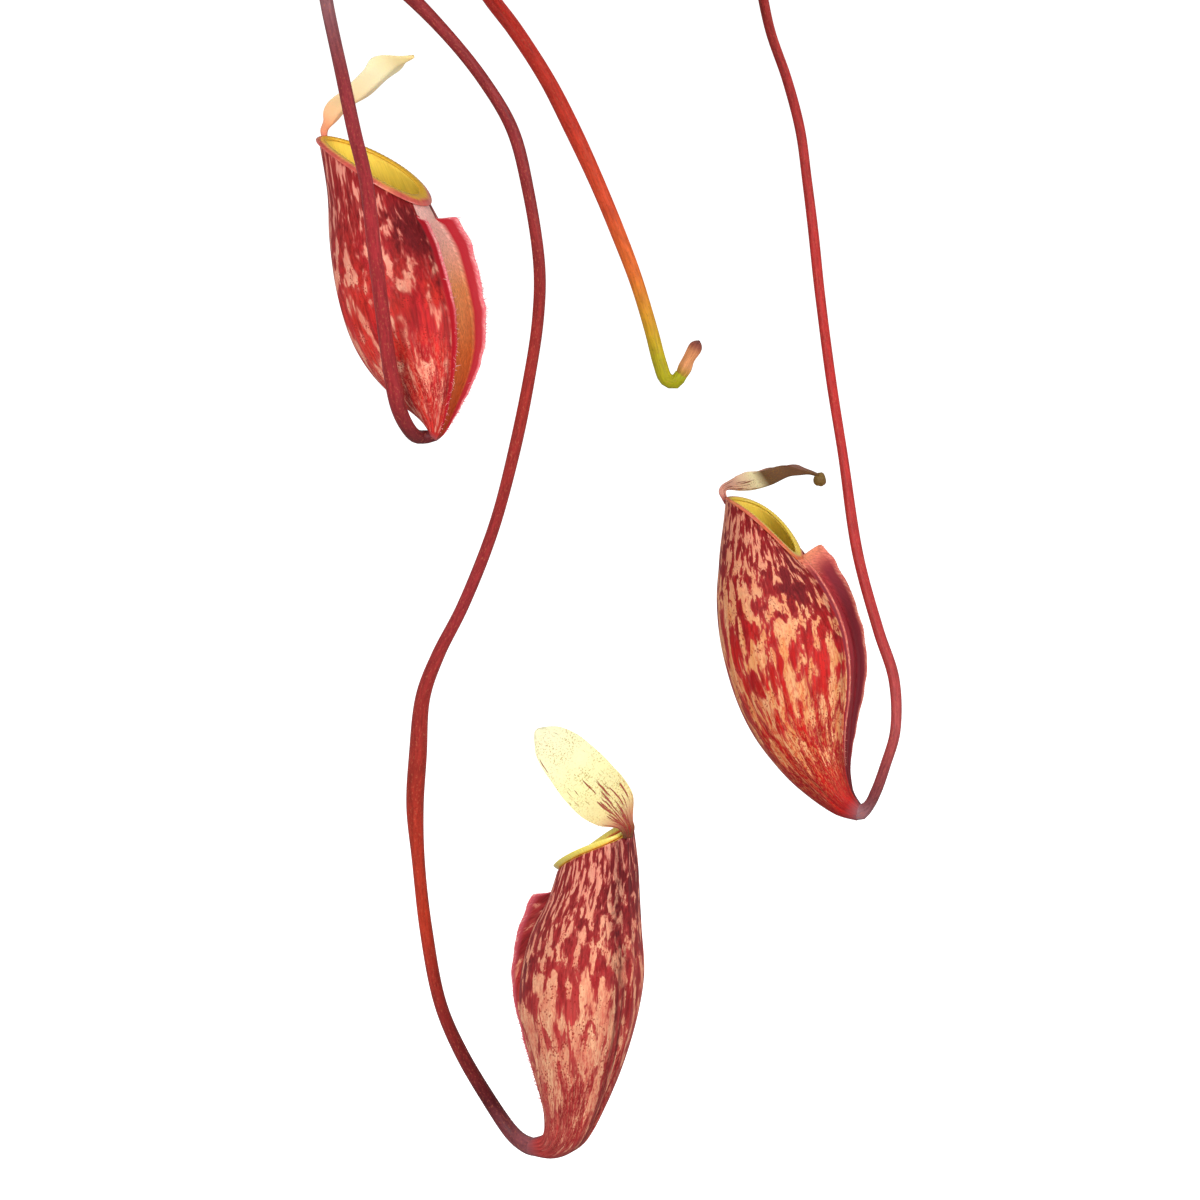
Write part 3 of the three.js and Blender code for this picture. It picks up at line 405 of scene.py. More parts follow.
def rows(table, t):
    """The Catmull-Rom value of a table's rows at t from 0 to 1, one column of results for each."""
    table = np.asarray(table, float)
    x = np.clip(t, 0, 1) * (len(table) - 1)
    i = np.minimum(x.astype(int), len(table) - 2)
    f = (x - i)[..., None]
    a, b, c, d = (table[np.clip(i + k, 0, len(table) - 1)] for k in (-1, 0, 1, 2))
    value = 2 * b + (c - a) * f + (2 * a - 5 * b + 4 * c - d) * f**2 + (3 * b - a - 3 * c + d) * f**3
    return np.moveaxis(0.5 * value, -1, 0)


def blend(tints, t):
    """The linear colours at t of a table of hex colours by their places."""
    channels = list(zip(*map(linear, tints.values())))[:3]
    return np.stack([np.interp(t, list(tints), channel) for channel in channels], axis=-1)


def bump(distance, breadth):
    """1 where the distance is 0, falling to about a third at the breadth."""
    return np.exp(-((distance / breadth) ** 2))


def smoothstep(low, high, x):
    """0 below low and 1 above high, with a smooth S between."""
    q = np.clip((x - low) / (high - low), 0, 1)
    return q * q * (3 - 2 * q)


def ripple(x, y, seed, octaves=3):
    """Smooth numbers about 0 that look random: sines in turned directions, each finer and weaker."""
    total = 0
    for k in range(octaves):
        angle = seed * 1.7 + k * 2.1
        u = x * np.cos(angle) + y * np.sin(angle)
        v = y * np.cos(angle) - x * np.sin(angle)
        total = total + 0.5**k * np.sin(2**k * u + seed) * np.sin(2**k * v * 1.3 + seed * 2.3)
    return total


def surface(points, ends=True, **data):
    """Closed bodies from grids of points whose columns go round and whose rows go along.

    points is one grid (rows, columns, 3) or many of them. Each cell is a quad, the last column
    joins the first, and a fan about its middle closes each end, or without ends the last row
    joins the first. data holds a number or a vector for each point. A body whose faces
    would look inwards is turned round.
    """
    if points.ndim == 3:
        points, data = points[None], {key: value[None] for key, value in data.items()}
    count, n, m, _ = points.shape
    index = np.arange(n * m).reshape(n, m)
    right = np.roll(index, -1, axis=1)
    quads = np.stack([index, right, np.roll(right, -1, axis=0), np.roll(index, -1, axis=0)], axis=-1)
    quads = quads[: n - 1 if ends else n].reshape(-1, 4)
    flat = {}
    for key, value in data.items():
        tail = value.shape[3:]
        flat[key] = np.broadcast_to(value, (count, n, m) + tail).reshape((count, n * m) + tail)
    verts = points.reshape(count, n * m, 3)
    tris = np.zeros((0, 3), int)
    if ends:
        verts = np.concatenate([verts, points[:, :1].mean(2), points[:, -1:].mean(2)], axis=1)
        flat = {key: np.concatenate([v, v[:, :1], v[:, -1:]], axis=1) for key, v in flat.items()}
        low = np.column_stack([np.full(m, n * m), right[0], index[0]])
        high = np.column_stack([np.full(m, n * m + 1), index[-1], right[-1]])
        tris = np.vstack([low, high])
    corners = verts[:, np.vstack([tris, quads[:, :3], quads[:, [0, 2, 3]]])]
    volume = (corners[:, :, 0] * np.cross(corners[:, :, 1], corners[:, :, 2])).sum((1, 2))
    inward = (volume < 0)[:, None, None]
    start = (np.arange(count) * verts.shape[1])[:, None, None]
    quads = np.where(inward, quads[None, :, ::-1], quads[None]) + start
    tris = np.where(inward, tris[None, :, ::-1], tris[None]) + start
    flat = {key: v.reshape((-1,) + v.shape[2:]) for key, v in flat.items()}
    return {
        "verts": verts.reshape(-1, 3),
        "quads": quads.reshape(-1, 4),
        "tris": tris.reshape(-1, 3),
        "data": flat,
    }


def tube(line, radii, sides, side=(0, 1, 0), **data):
    """A round surface carried along a line, each end drawn in to a small dome.

    A point is the line's, plus the radius times the cosine of its angle to the side and the sine
    of it across. side is a direction that the line never takes.
    """
    along, side, up = frames(line, side)
    angle = circle(sides)
    radii = np.broadcast_to(radii, len(line)).astype(float)
    ring = side[:, None] * np.cos(angle)[:, None] + up[:, None] * np.sin(angle)[:, None]
    points = line[:, None] + ring * radii[:, None, None]
    first = line[0] - along[0] * radii[0] * 0.4 + ring[0] * radii[0] * 0.6
    last = line[-1] + along[-1] * radii[-1] * 0.4 + ring[-1] * radii[-1] * 0.6
    points = np.concatenate([first[None], points, last[None]])
    arc = np.pad(lengths(line), 1, mode="edge")[:, None]
    mean = radii.mean()
    grain = np.stack(np.broadcast_arrays(mean * np.cos(angle), mean * np.sin(angle), arc), axis=-1)
    data = {key: np.concatenate([v[:1], v, v[-1:]])[:, None] for key, v in data.items()}
    return surface(points, grain=grain, **data)


def piece(name, bodies, material, nodes=()):
    """Puts closed bodies, in millimetres, into one mesh object that stands for the nodes."""
    starts = np.cumsum([0] + [len(body["verts"]) for body in bodies])
    verts = np.vstack([body["verts"] for body in bodies]) * MM
    quads = np.vstack([body["quads"] + start for body, start in zip(bodies, starts)])
    tris = np.vstack([body["tris"] + start for body, start in zip(bodies, starts)])
    mesh = bpy.data.meshes.new(name)
    mesh.from_pydata(verts, [], quads.tolist() + tris.tolist(), shade_flat=False)
    for key in bodies[0]["data"]:
        values = np.concatenate([body["data"][key] for body in bodies])
        kind, field = ("FLOAT_VECTOR", "vector") if values.ndim == 2 else ("FLOAT", "value")
        layer = mesh.attributes.new(key, kind, "POINT")
        layer.data.foreach_set(field, values.ravel().astype(np.float32))
    if mesh.validate():
        raise RuntimeError(f"{name} had faces that its mesh could not keep")
    obj = bpy.data.objects.new(name, mesh)
    bpy.context.scene.collection.objects.link(obj)
    mesh.materials.append(material)
    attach(obj, BODY)
    if nodes:
        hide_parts(*nodes)
    return obj


# ---------- pitcher shapes ----------


def placed(form, points):
    """Points of a pitcher's own frame, front along +X, turned and moved to where it hangs."""
    turn, lean = np.radians(form["azimuth"]), np.radians(form["roll"])
    x, y, z = np.moveaxis(points, -1, 0)
    y, z = y * np.cos(lean) - z * np.sin(lean), y * np.sin(lean) + z * np.cos(lean)
    x, y = x * np.cos(turn) - y * np.sin(turn), x * np.sin(turn) + y * np.cos(turn)
    return np.stack([x, y, z], axis=-1) + form["base"]


def wall(form, t, degrees, inset):
    """The pitcher's wall at level t and an angle from its front.

    A level is an ellipse between a back and a front point, tilted as they are, drawn in by
    inset, and near the mouth its two sides rise like a saddle.
    """
    t, degrees, inset = np.broadcast_arrays(t, degrees, inset)
    bx, bz, fx, fz, ratio = rows(form["stations"], t)
    depth = np.hypot(fx - bx, fz - bz) / 2
    a = np.radians(degrees)
    forward = (depth - inset) * np.cos(a) / (2 * depth)
    saddle = form["saddle"] * np.sin(a) ** 2 * smoothstep(0.7, 1, t)
    x = (bx + fx) / 2 + forward * (fx - bx)
    z = (bz + fz) / 2 + forward * (fz - bz) + saddle
    return np.stack([x, (depth * ratio - inset) * np.sin(a), z], axis=-1)


def wing_of(form, degrees):
    """The angle and the share of the height of the wing on the side of each angle."""
    angle, share = form["other_wing"]
    return np.where(degrees < 0, angle, WING_ANGLE), np.where(degrees < 0, share, 1)


def wing_height(form, t, degrees):
    """How far a wing stands out at level t, with slow waves along its edge."""
    top = form["wing_top"]
    waves = 1 + 0.03 * np.sin(t * 61 + form["seed"]) + 0.02 * np.sin(t * 97)
    _, share = wing_of(form, degrees)
    return ramp(form["wing"], t) * (1 - smoothstep(top - 0.045, top, t)) * waves * share


def wing_direction(form, t, degrees):
    """The outward direction of a wing: square to the front's slope, and leaning to its own side."""
    near, far = (rows(form["stations"], t + step)[2:4] for step in (-0.03, 0.03))
    dx, dz = far - near
    length = np.maximum(np.hypot(dx, dz), 1e-6)
    lean = np.radians(wing_of(form, degrees)[0])
    out, aside = np.cos(lean) / length, np.sin(lean) * np.sign(degrees)
    return np.stack([dz * out, aside + 0 * dx, -dx * out], axis=-1)


def half_angles(wing):
    """Angles round half a pitcher, close together at its wing and where its back keel runs."""
    crest = wing + np.linspace(-1, 1, 15) * WING_HALF_ANGLE
    side = np.linspace(wing + 4.5, 172, 34)
    return np.concatenate([np.linspace(0, wing - 3.5, 6), crest, side, (175, 178)])


def cup(form):
    """A pitcher's wall, out and in, with two wings, faint ribs and a keel down its back.

    The outer skin is the wall's ellipses with ripples of a few tenths of a millimetre. Each
    wing is lifted off it as a thin crest. The skin then turns in over the mouth's edge and
    runs down inside to a rounded floor.
    """
    left, right = half_angles(WING_ANGLE), -half_angles(form["other_wing"][0])
    degrees = np.concatenate([left, [180], right[:0:-1]])[None]
    t = np.linspace(0, 1, CUP_RINGS)[:, None]
    size_of_angle = np.abs(degrees)
    q = (size_of_angle - wing_of(form, degrees)[0]) / WING_HALF_ANGLE
    crest = np.where(np.abs(q) < 1, 1 - np.abs(q) ** 4, 0)
    outer = wall(form, t, degrees, 0)
    ring = np.radians(degrees)
    cx, cz = np.cos(ring) * 3, np.sin(ring) * 3
    swell = ripple(cx + 4 * t, cz + 7 * t, form["seed"], 2) * smoothstep(0, 0.3, t) * (1 - t**6)
    swell = SWELL_HEIGHT * swell
    ribs = RIB_HEIGHT * np.cos(ring * RIBS) * smoothstep(0.02, 0.2, t) * (1 - smoothstep(0.5, 1, t) * 0.5)
    keel = KEEL_HEIGHT * bump(180 - size_of_angle, 4) * smoothstep(0.1, 0.4, t)
    middle = wall(form, t, 0 * degrees, 0) * 0.5 + wall(form, t, 0 * degrees + 180, 0) * 0.5
    outer = outer + unit(outer - middle) * (swell + ribs + keel)[..., None]
    height = wing_height(form, t, degrees) * crest
    outer = outer + wing_direction(form, t + 0 * degrees, degrees + 0 * t) * height[..., None]
    t_in = np.linspace(1, CUP_DEEPEST, CUP_RINGS_INSIDE)[:, None]
    closing = smoothstep(CUP_DEEPEST + 0.1, CUP_DEEPEST, t_in)
    bx, bz, fx, fz, _ = rows(form["stations"], t_in)
    inset = CUP_WALL + closing * np.hypot(fx - bx, fz - bz) * 0.27
    inner = wall(form, t_in, degrees, inset)
    edge = (outer[-1:] + inner[:1]) / 2 + (0, 0, 0.25)
    points = np.concatenate([outer, edge, inner])
    levels = np.concatenate([t, [[1.0]], t_in])
    inside = np.concatenate([0 * t, [[0.5]], 0 * t_in + 1])
    # The pattern is finer and denser near the mouth.
    rise = 100 * levels + 60 * np.maximum(levels - 0.6, 0) ** 2 + 0 * degrees
    around = GRAIN_RADIUS * (1 + 0.85 * smoothstep(0.58, 1, levels))
    around = around + np.concatenate([height, height[-1:] * 0, inner[..., 0] * 0])
    grain = np.stack([around * np.cos(ring), around * np.sin(ring), rise], axis=-1)
    return placed(form, points), degrees, levels, inside, grain, crest


def cup_body(form):
    """The pitcher's wall, with the values that its finish follows.

    zones: between the wings, on a wing, and on a dark line beside a wing or down the back.
    marks: how much red is left between the patches, how pink and how maroon the skin is.
    """
    points, degrees, levels, inside, grain, crest = cup(form)
    angle = np.abs(degrees)
    wing_angle, _ = wing_of(form, degrees)
    high = np.clip(ramp(form["wing"], levels), 0, 1) * (levels < form["wing_top"])
    outside = 1 - inside
    front = smoothstep(wing_angle + 1, wing_angle - 1, angle) * outside
    dull = np.where(degrees < 0, form["dull"] + (1 - form["dull"]) * smoothstep(0.5, 0.78, levels), 1)
    wing = crest * high * outside * dull
    beside, behind, breadth, at, flank = form["lines"]
    past = (degrees - at + 180) % 360 - 180
    lines = bump(angle - wing_angle - 6, 3) * smoothstep(0.97, 0.85, levels) * beside
    lines = lines + bump(past, breadth) * behind
    lines = lines * smoothstep(0.05, 0.2, levels) * outside
    bare_angle, bare_level = form["bare"]
    bare = bump(angle - bare_angle, 22) * bump(levels - bare_level, 0.1)
    red = form["red_foot"] * smoothstep(0.5, 0.1, levels) + 0.3 * smoothstep(0.1, 0.02, levels)
    red = red + 0.09 * bare + 0.03 * smoothstep(60, 30, angle) + 0.02 * smoothstep(0.9, 1, levels)
    red = red + flank * smoothstep(6, 16, past) * smoothstep(70, 50, past)
    red = red - form["patches"] * bump(levels - 0.5, 0.25) - form["high"] * smoothstep(0.6, 0.8, levels)
    pink = form["pink"] + 0.65 * smoothstep(0.6, 0.95, levels) + 0.5 * smoothstep(0.3, 0.1, levels)
    maroon = 0.1 + 0.5 * smoothstep(0.55, 0.9, levels) + 0.45 * bare + 0.25 * smoothstep(110, 170, angle)
    zones = np.stack(np.broadcast_arrays(front, wing, lines), axis=-1)
    marks = np.stack(np.broadcast_arrays(red, pink, maroon), axis=-1)
    level = levels + 0 * degrees
    return surface(
        points, grain=grain + form["seed"] * 9, zones=zones, marks=marks, level=level,
        inside=inside + 0 * degrees, tint=blend(form["face"], level),
    )


def lip_body(form):
    """The rolled lip: a flat oval section carried round the mouth, its outer edge curled down.

    The section is narrower at the back and broader in front, it is tilted up from the mouth's plane by
    the lip's angle, and fine ribs cross its upper side.
    """
    degrees = np.arange(0, 360, LIP_STEP)[:, None]
    around = circle(20)[None]
    bx, bz, fx, fz, _ = rows(form["stations"], 1.0)
    up = unit(np.array([bz - fz, 0, fx - bx]))
    middle = wall(form, 1.0, degrees, CUP_WALL / 2)
    outward = unit(wall(form, 1.0, degrees, 0) - middle)
    from_front = (degrees + 180) % 360 - 180
    narrow = 1 - 0.4 * bump(degrees - 180, 32) + 0.4 * bump(from_front, 40)
    half_width, tilt, *tints = form["lip"]
    lean = np.radians(tilt)
    across = half_width * np.cos(around) * narrow
    ribs = LIP_RIB_HEIGHT * np.sin(np.radians(degrees) * LIP_RIBS) * (np.sin(around) > 0)
    lift = 0.5 + 0.5 * np.sin(around) + ribs - 0.25 * across - 0.14 * np.maximum(across, 0) ** 2
    flare, rise = outward * np.cos(lean) + up * np.sin(lean), up * np.cos(lean) - outward * np.sin(lean)
    middle = middle + flare * half_width * 0.9 * np.sin(lean)
    points = middle + flare * across[..., None] + rise * lift[..., None]
    outer = smoothstep(-0.2, 0.75, np.cos(around) * (1 if tilt < 45 else -1)) + 0 * degrees
    patchy = outer + 0.16 * ripple(degrees * 0.08, outer * 2, form["seed"]) * (outer > 0)
    tint = blend(dict(zip((0.3, 0.65, 1), tints)), patchy)
    grain = np.stack([degrees + 0 * around, outer, outer], axis=-1)
    return surface(placed(form, points), ends=False, grain=grain, level=outer, tint=tint)


def blade(line, side, half_width, fold, wave, thickness, keel, count, phase):
    """A thin blade along a line, folded up at its edges, waved and thinner towards them.

    A point is the line's, plus its share of the half width to the side, plus the fold's rise,
    which grows with the distance from the middle, plus a wave that grows with its square.
    Returns the points and, for each, its share across, its level along and 1 on top, 0 under.
    """
    _, sides, ups = frames(line, side)
    t = np.linspace(0, 1, len(line))[:, None]
    share = np.sin(np.linspace(-np.pi / 2, np.pi / 2, count))[None]
    w = half_width(t)
    rise = np.sqrt((share * w) ** 2 + 0.3) * fold
    rise = rise + wave * np.minimum(w / 12, 1) * share**2 * np.sin(t * 20 + phase + share * 1.3)
    half = thickness / 2 * (1 - 0.72 * share**4)
    rib = keel * bump(share * w, 0.9) * (1 - 0.6 * t)
    base = line[:, None] + sides[:, None] * (share * w)[..., None]
    top = base + ups[:, None] * (rise + half - rib * 0.2)[..., None]
    under = base + ups[:, None] * (rise - half - rib)[..., None]
    points = np.concatenate([top, under[:, ::-1]], axis=1)
    both = np.concatenate([share, share[:, ::-1]], axis=1) + 0 * t
    face = np.concatenate([share * 0 + 1, share * 0], axis=1) + 0 * t
    return points, both, t + 0 * both, face


def lid_line(form):
    """The points of a lid's middle line, the first of them its hinge above the back of the mouth."""
    back_x, back_z, *_ = rows(form["stations"], 1.0)
    x, z = np.array(form["lid"]["line"]).T + np.array([form["lid"]["start"]]).T
    return np.column_stack([back_x + x, 0 * x, back_z + z])


def lid_body(form):
    """A lid: a narrow blade from the back of the mouth, rooted in the wall and rounded at its tip."""
    lid, line = form["lid"], lid_line(form)
    roll = np.radians(lid["roll"])
    level, start = np.array([0, -1, 0]), unit(line[1] - line[0])
    side = level * np.cos(roll) + np.cross(start, level) * np.sin(roll)
    line = curve(np.vstack([line[0] + (0.3, 0, -3), line]), LID_RINGS)
    root = 0.09

    def half_width(t):
        along = np.clip((t - root) / (1 - root), 0, 1)
        neck = 0.55 + 0.45 * smoothstep(0, root, t)
        rounded = np.sqrt(1 - np.clip((t - 0.955) / 0.05, 0, 1) ** 2)
        return neck * rows(np.array(lid["half_widths"])[:, None], along)[0] * rounded

    points, share, level, face = blade(
        placed(form, line), placed(form, side) - form["base"], half_width,
        fold=lid["fold"], wave=0.5, thickness=0.8, keel=0.4, count=25, phase=form["seed"],
    )
    tint = np.where(face[..., None] > 0, blend(lid["tints"], level), blend(lid["under"], level))
    veins = np.interp(level, (0, 0.15, 0.5, 0.75), (1, 1, 0.2, -0.6)) * smoothstep(1, 0.2, np.abs(share))
    grain = np.stack([share * 6 + form["seed"], level * 34, face * 3], axis=-1)
    zones = np.stack([veins * lid["veins"] - (lid["veins"] == 0), 0 * veins + lid["specks"], face], axis=-1)
    return surface(points, grain=grain, zones=zones, level=level, tint=tint)


def shrivelled_tip(form):
    """The dried lump at a lid's end: a small ball pressed out of round by ripples."""
    centre = lid_line(form)[-1] - (0.2, 0, 0.5)
    polar = np.linspace(0.12, np.pi - 0.12, 26)[:, None]
    turn = circle(36)[None]
    ball = [np.sin(polar) * np.cos(turn), np.sin(polar) * np.sin(turn), np.cos(polar) + 0 * turn]
    ball = np.stack(ball, axis=-1)
    radius = 1.75 + 0.22 * ripple(ball[..., 0] * 2.6 + ball[..., 2], ball[..., 1] * 2.8, 5.3)
    flat = np.zeros(ball.shape)
    tint = flat + linear("#6f5426")[:3]
    points = centre + ball * radius[..., None] * (1, 0.8, 1.1)
    return surface(placed(form, points), grain=ball * 3, zones=flat, level=flat[..., 0], tint=tint)


def spur_body(form):
    """The spur: a short horn that curves up and back from the wall, just under the lid."""
    back_x, back_z, *_ = rows(form["stations"], 0.97)
    points = ((0.9, 0, 0), (-0.2, 0, 0.3), (-0.8, 0, 0.9), (-1.2, 0, 1.8))
    line = curve(np.array(points) + (back_x, 0, back_z), 14)
    radii = np.interp(np.linspace(0, 1, 14), (0, 0.3, 1), (0.8, 0.55, 0.18))
    flat = np.zeros((14, 3))
    tint = flat + linear("#8e3a3a")[:3]
    side = (0.3, 0.2, 0.9)
    return tube(placed(form, line), radii, 14, side=side, zones=flat, level=flat[:, 0], tint=tint)


def strands(roots, directions, bends, radii, rings, sides, **data):
    """Many fine tapered hairs at once.

    A hair's line is its root, plus its direction times t, plus its bend times t squared. Each
    ring is a circle square to the direction, whose radius falls to a fifth at the tip.
    """
    t = np.linspace(0, 1, rings)[None, :, None]
    line = roots[:, None] + directions[:, None] * t + bends[:, None] * t**2
    side = unit(np.cross(directions, (0.31, 0.22, 0.93)))[:, None, None]
    up = np.cross(unit(directions)[:, None, None], side)
    angle = circle(sides)[:, None]
    taper = radii[:, None, None, None] * (1 - 0.8 * t[..., None])
    ring = (side * np.cos(angle) + up * np.sin(angle)) * taper
    return surface(line[:, :, None] + ring, **{key: v[:, None, None] for key, v in data.items()})


def fringe_body(form, length, count=150):
    """Soft hairs along the crests of both wings, leaning a little every way."""
    rng = np.random.default_rng(int(form["seed"] * 10))
    low = np.argmax(np.array(form["wing"]) > 0) / (len(form["wing"]) - 1)
    t = np.tile(np.linspace(low, form["wing_top"] - 0.012, count), 2) + rng.normal(0, 0.002, 2 * count)
    degrees = np.repeat([WING_ANGLE, -form["other_wing"][0]], count) + rng.normal(0, 0.5, 2 * count)
    out = wing_direction(form, t, degrees)
    root = wall(form, t, degrees, 0) + out * (wing_height(form, t, degrees) - 0.35)[:, None]
    direction = out + rng.normal(0, 0.35, out.shape)
    direction = unit(direction) * (length * rng.uniform(0.45, 1.1, 2 * count))[:, None]
    bends = rng.normal(0, 0.35, out.shape)
    world = placed(form, root)
    direction = placed(form, root + direction) - world
    radii = rng.uniform(0.09, 0.15, 2 * count)
    return strands(world, direction, bends, radii, 4, 4, level=rng.uniform(0, 1, 2 * count))


# ---------- leaves and tendrils ----------


def leaf_line(azimuth, height, rise, tip, steps):
    """The middle line of a leaf, from inside the stem over the basket's edge to the tip."""
    turn = np.radians(azimuth)
    out = np.array([np.cos(turn), np.sin(turn)])
    if tip is None:
        young = ((5.2, 0), (13, 13), (22, 32), (33, 50), (43, 58))
        return curve([(*(out * r), height + up) for r, up in young], steps)
    points = [
        (*(out * 5.7), height),
        (*(out * 24), height + rise * 0.55),
        (*(out * 58), height + rise),
        (*(out * 67.5 + np.array(tip[:2]) * 0.25), (height + rise) * 0.62 + tip[2] * 0.38),
        tip,
    ]
    return curve(points, steps)


def leaf_body(name, thickness):
    """A leaf: a long blade on its own stalk, with a raised midrib below and a waved edge."""
    azimuth, height, rise, tip, scale = LEAVES[name]
    line = leaf_line(azimuth, height, rise, tip, LEAF_RINGS)
    line = np.vstack([line[0] + unit(line[0] - line[1]) * 2.5, line])
    turn = np.radians(azimuth)

    def half_width(t):
        return rows(np.array(LEAF_HALF_WIDTHS)[:, None], t)[0] * np.where((t > 0.05) & (t < 0.99), scale, 1)

    number = int(name.split("_")[1])
    points, share, level, face = blade(
        line, (np.sin(turn), -np.cos(turn), 0), half_width,
        fold=0.22, wave=1.6, thickness=thickness, keel=1.3, count=33, phase=number,
    )
    across = share * half_width(level)
    grain = np.stack([across, lengths(line)[:, None] + 0 * across, face * 2 + number * 31], axis=-1)
    zones = np.stack([np.abs(share), face, 0 * face + (0.9 if tip is None else (number % 4) / 5)], axis=-1)
    return surface(points, grain=grain, zones=zones, level=level)


def tendril_points(name):
    """The points and radii of a tendril, from inside its leaf's tip to inside what it carries."""
    azimuth, height, rise, tip, _ = LEAVES["leaf_" + name.split("_")[1]]
    end = leaf_line(azimuth, height, rise, tip, 16)[-2:]
    out = unit(end[1] - end[0])
    start = np.array([(*(end[1] + out * step), r) for step, r in ((-12, 0.6), (-2, 1.2), (7.3, 1.5))])
    if name in TENDRILS:
        return np.vstack([start, TENDRILS[name]])
    flat = unit(out * (1, 1, 0))
    hooked = ((0.55, 1, 1.3), (0.85, 1, 1.6), (1.02, 0.72, 2), (1, 0.5, 0.9))
    last = [(*(end[1] + flat * a * 22 - (0, 0, d * 22)), r) for a, d, r in hooked]
    start[2] = (*(end[1] + flat * 5.5 - (0, 0, 13.2)), 1.2)
    return np.vstack([start, last])


def tendril_body(name):
    """A tendril: a round section along its route, with slow swellings and a run of colours."""
    points = tendril_points(name)
    if name in PITCHER_OF:
        form = PITCHERS[PITCHER_OF[name]]
        bx, bz, fx, fz, _ = rows(form["stations"], np.array([0.0, 0.045]))
        inner = placed(form, np.stack([(bx + fx) / 2, 0 * bx, (bz + fz) / 2], axis=-1))
        half = np.hypot(fx - bx, fz - bz) / 2
        points = np.vstack([points[:-1], np.column_stack([inner, half * (1.02, 0.8)])])
    length = lengths(points[:, :3])[-1]
    made = curve(points, int(length / TENDRIL_STEP))
    level = np.linspace(0, 1, len(made))
    number = int(name.split("_")[1])
    swell = 1 + 0.035 * np.sin(level * length / 9 + number) * np.sin(level * length / 23 + 2 * number)
    tint = blend(TENDRIL_TINTS.get(name, YOUNG_TINTS), level)
    return tube(made[:, :3], made[:, 3] * swell, 28, side=TENDRIL_SIDE, level=level, tint=tint)


def bud_body():
    """The unopened pitcher: a short bent club that swells, then closes to a blunt dark tip."""
    made = curve(BUD, 44)
    t = np.linspace(0, 1, len(made))
    radii = made[:, 3] * (1 + 0.05 * np.sin(t * 9)) * np.sqrt(1 - np.clip((t - 0.86) / 0.15, 0, 1) ** 2)
    radii = np.maximum(radii, 0.35)
    return tube(made[:, :3], radii, 30, side=TENDRIL_SIDE, level=t, tint=blend(BUD_TINTS, t))


def stem_bodies():
    """The stem with a ring where each leaf leaves it, and the newest leaf rolled to a spear."""
    foot = RIM_Z + MOSS_MOUND - STEM_DEPTH
    z = np.linspace(foot, STEM_TOP_Z, 120)
    radii = STEM_RADIUS * (1 - 0.12 * (z - foot) / (STEM_TOP_Z - foot))
    heights = np.array([*(leaf[1] for leaf in LEAVES.values()), *OLD_LEAF_HEIGHTS])
    radii = radii + 0.45 * bump(z[:, None] - heights + 3, 1.1).max(1)
    stem = tube(np.column_stack([0 * z, 0 * z, z]), radii, 36, level=np.linspace(0, 0.6, len(z)))
    t = np.linspace(-0.08, 1, 60)
    rise = np.maximum(t, 0)
    line = np.column_stack([5 * rise**2, -2 * rise, STEM_TOP_Z + (SPEAR_TOP_Z - STEM_TOP_Z) * t])
    spear = tube(line, SPEAR_RADIUS * (1 - 0.7 * rise**2), 24, level=0.75 + 0.25 * rise)
    return [stem, spear]


# ---------- moss, hook and wires ----------


def moss_height(x, y):
    """The moss's upper surface: a mound that falls to the basket's rim, with slow lumps."""
    half = BASKET_WIDTH / 2 - SLAT_THICKNESS
    edge = (1 - np.clip(np.abs(x) / half, 0, 1) ** 4) * (1 - np.clip(np.abs(y) / half, 0, 1) ** 4)
    return RIM_Z - 3 + edge * (MOSS_MOUND + 2 * np.sin(x * 0.13 + 1) * np.sin(y * 0.11 + 2))


def gap_bulge(z, facing_y):
    """How far the moss swells into the gap at height z, which is open on that side only."""
    layer = (z - BASKET_FOOT_Z) / SLAT_HEIGHT
    opened = np.where(facing_y, np.floor(layer) % 2 == 1, np.floor(layer) % 2 == 0) & (layer > 1.6)
    return MOSS_BULGE * opened * (layer < SLAT_LAYERS) * np.sin(np.pi * (layer % 1)) ** 2


def moss_ring(count):
    """The x and the y of points round a square with rounded corners, of half width 1."""
    sides = np.array([np.cos(circle(count)), np.sin(circle(count))])
    return sides * (np.abs(sides) ** 12).sum(0) ** (-1 / 12)


def moss_body():
    """The moss: rings up the inside of the basket that swell into its gaps, then in over a mound."""
    half = BASKET_WIDTH / 2 - SLAT_THICKNESS - 0.5
    foot = BASKET_FOOT_Z + SLAT_HEIGHT + FLOOR_SLAT_HEIGHT + 0.6
    u, v = moss_ring(360)
    z = np.concatenate([[foot], np.linspace(foot, RIM_Z - 4, 90)])[:, None]
    flat = smoothstep(0.93, 0.8, np.minimum(np.abs(u), np.abs(v)))
    swell = gap_bulge(z, (np.abs(v) > np.abs(u))[None]) * flat
    lumps = 0.9 * ripple(u * 40 + z * 0.1, v * 40 + z * 0.55, 2.2, 4) * np.where(swell > 0.3, 1, 0.35)
    reach = half - 1.2 + swell + lumps
    reach[0] = half * 0.5
    side = np.stack([u * reach, v * reach, z + 0 * reach], axis=-1)
    shrink = np.linspace(0.985, 0.02, 110)[:, None]
    x, y = u * shrink * (half - 1.2), v * shrink * (half - 1.2)
    lumps = 1.3 * ripple(x * 0.42, y * 0.42, 7.9, 4)
    top = np.stack([x, y, moss_height(x, y) + lumps * smoothstep(1, 0.9, shrink)], axis=-1)
    return surface(np.concatenate([side, top]))


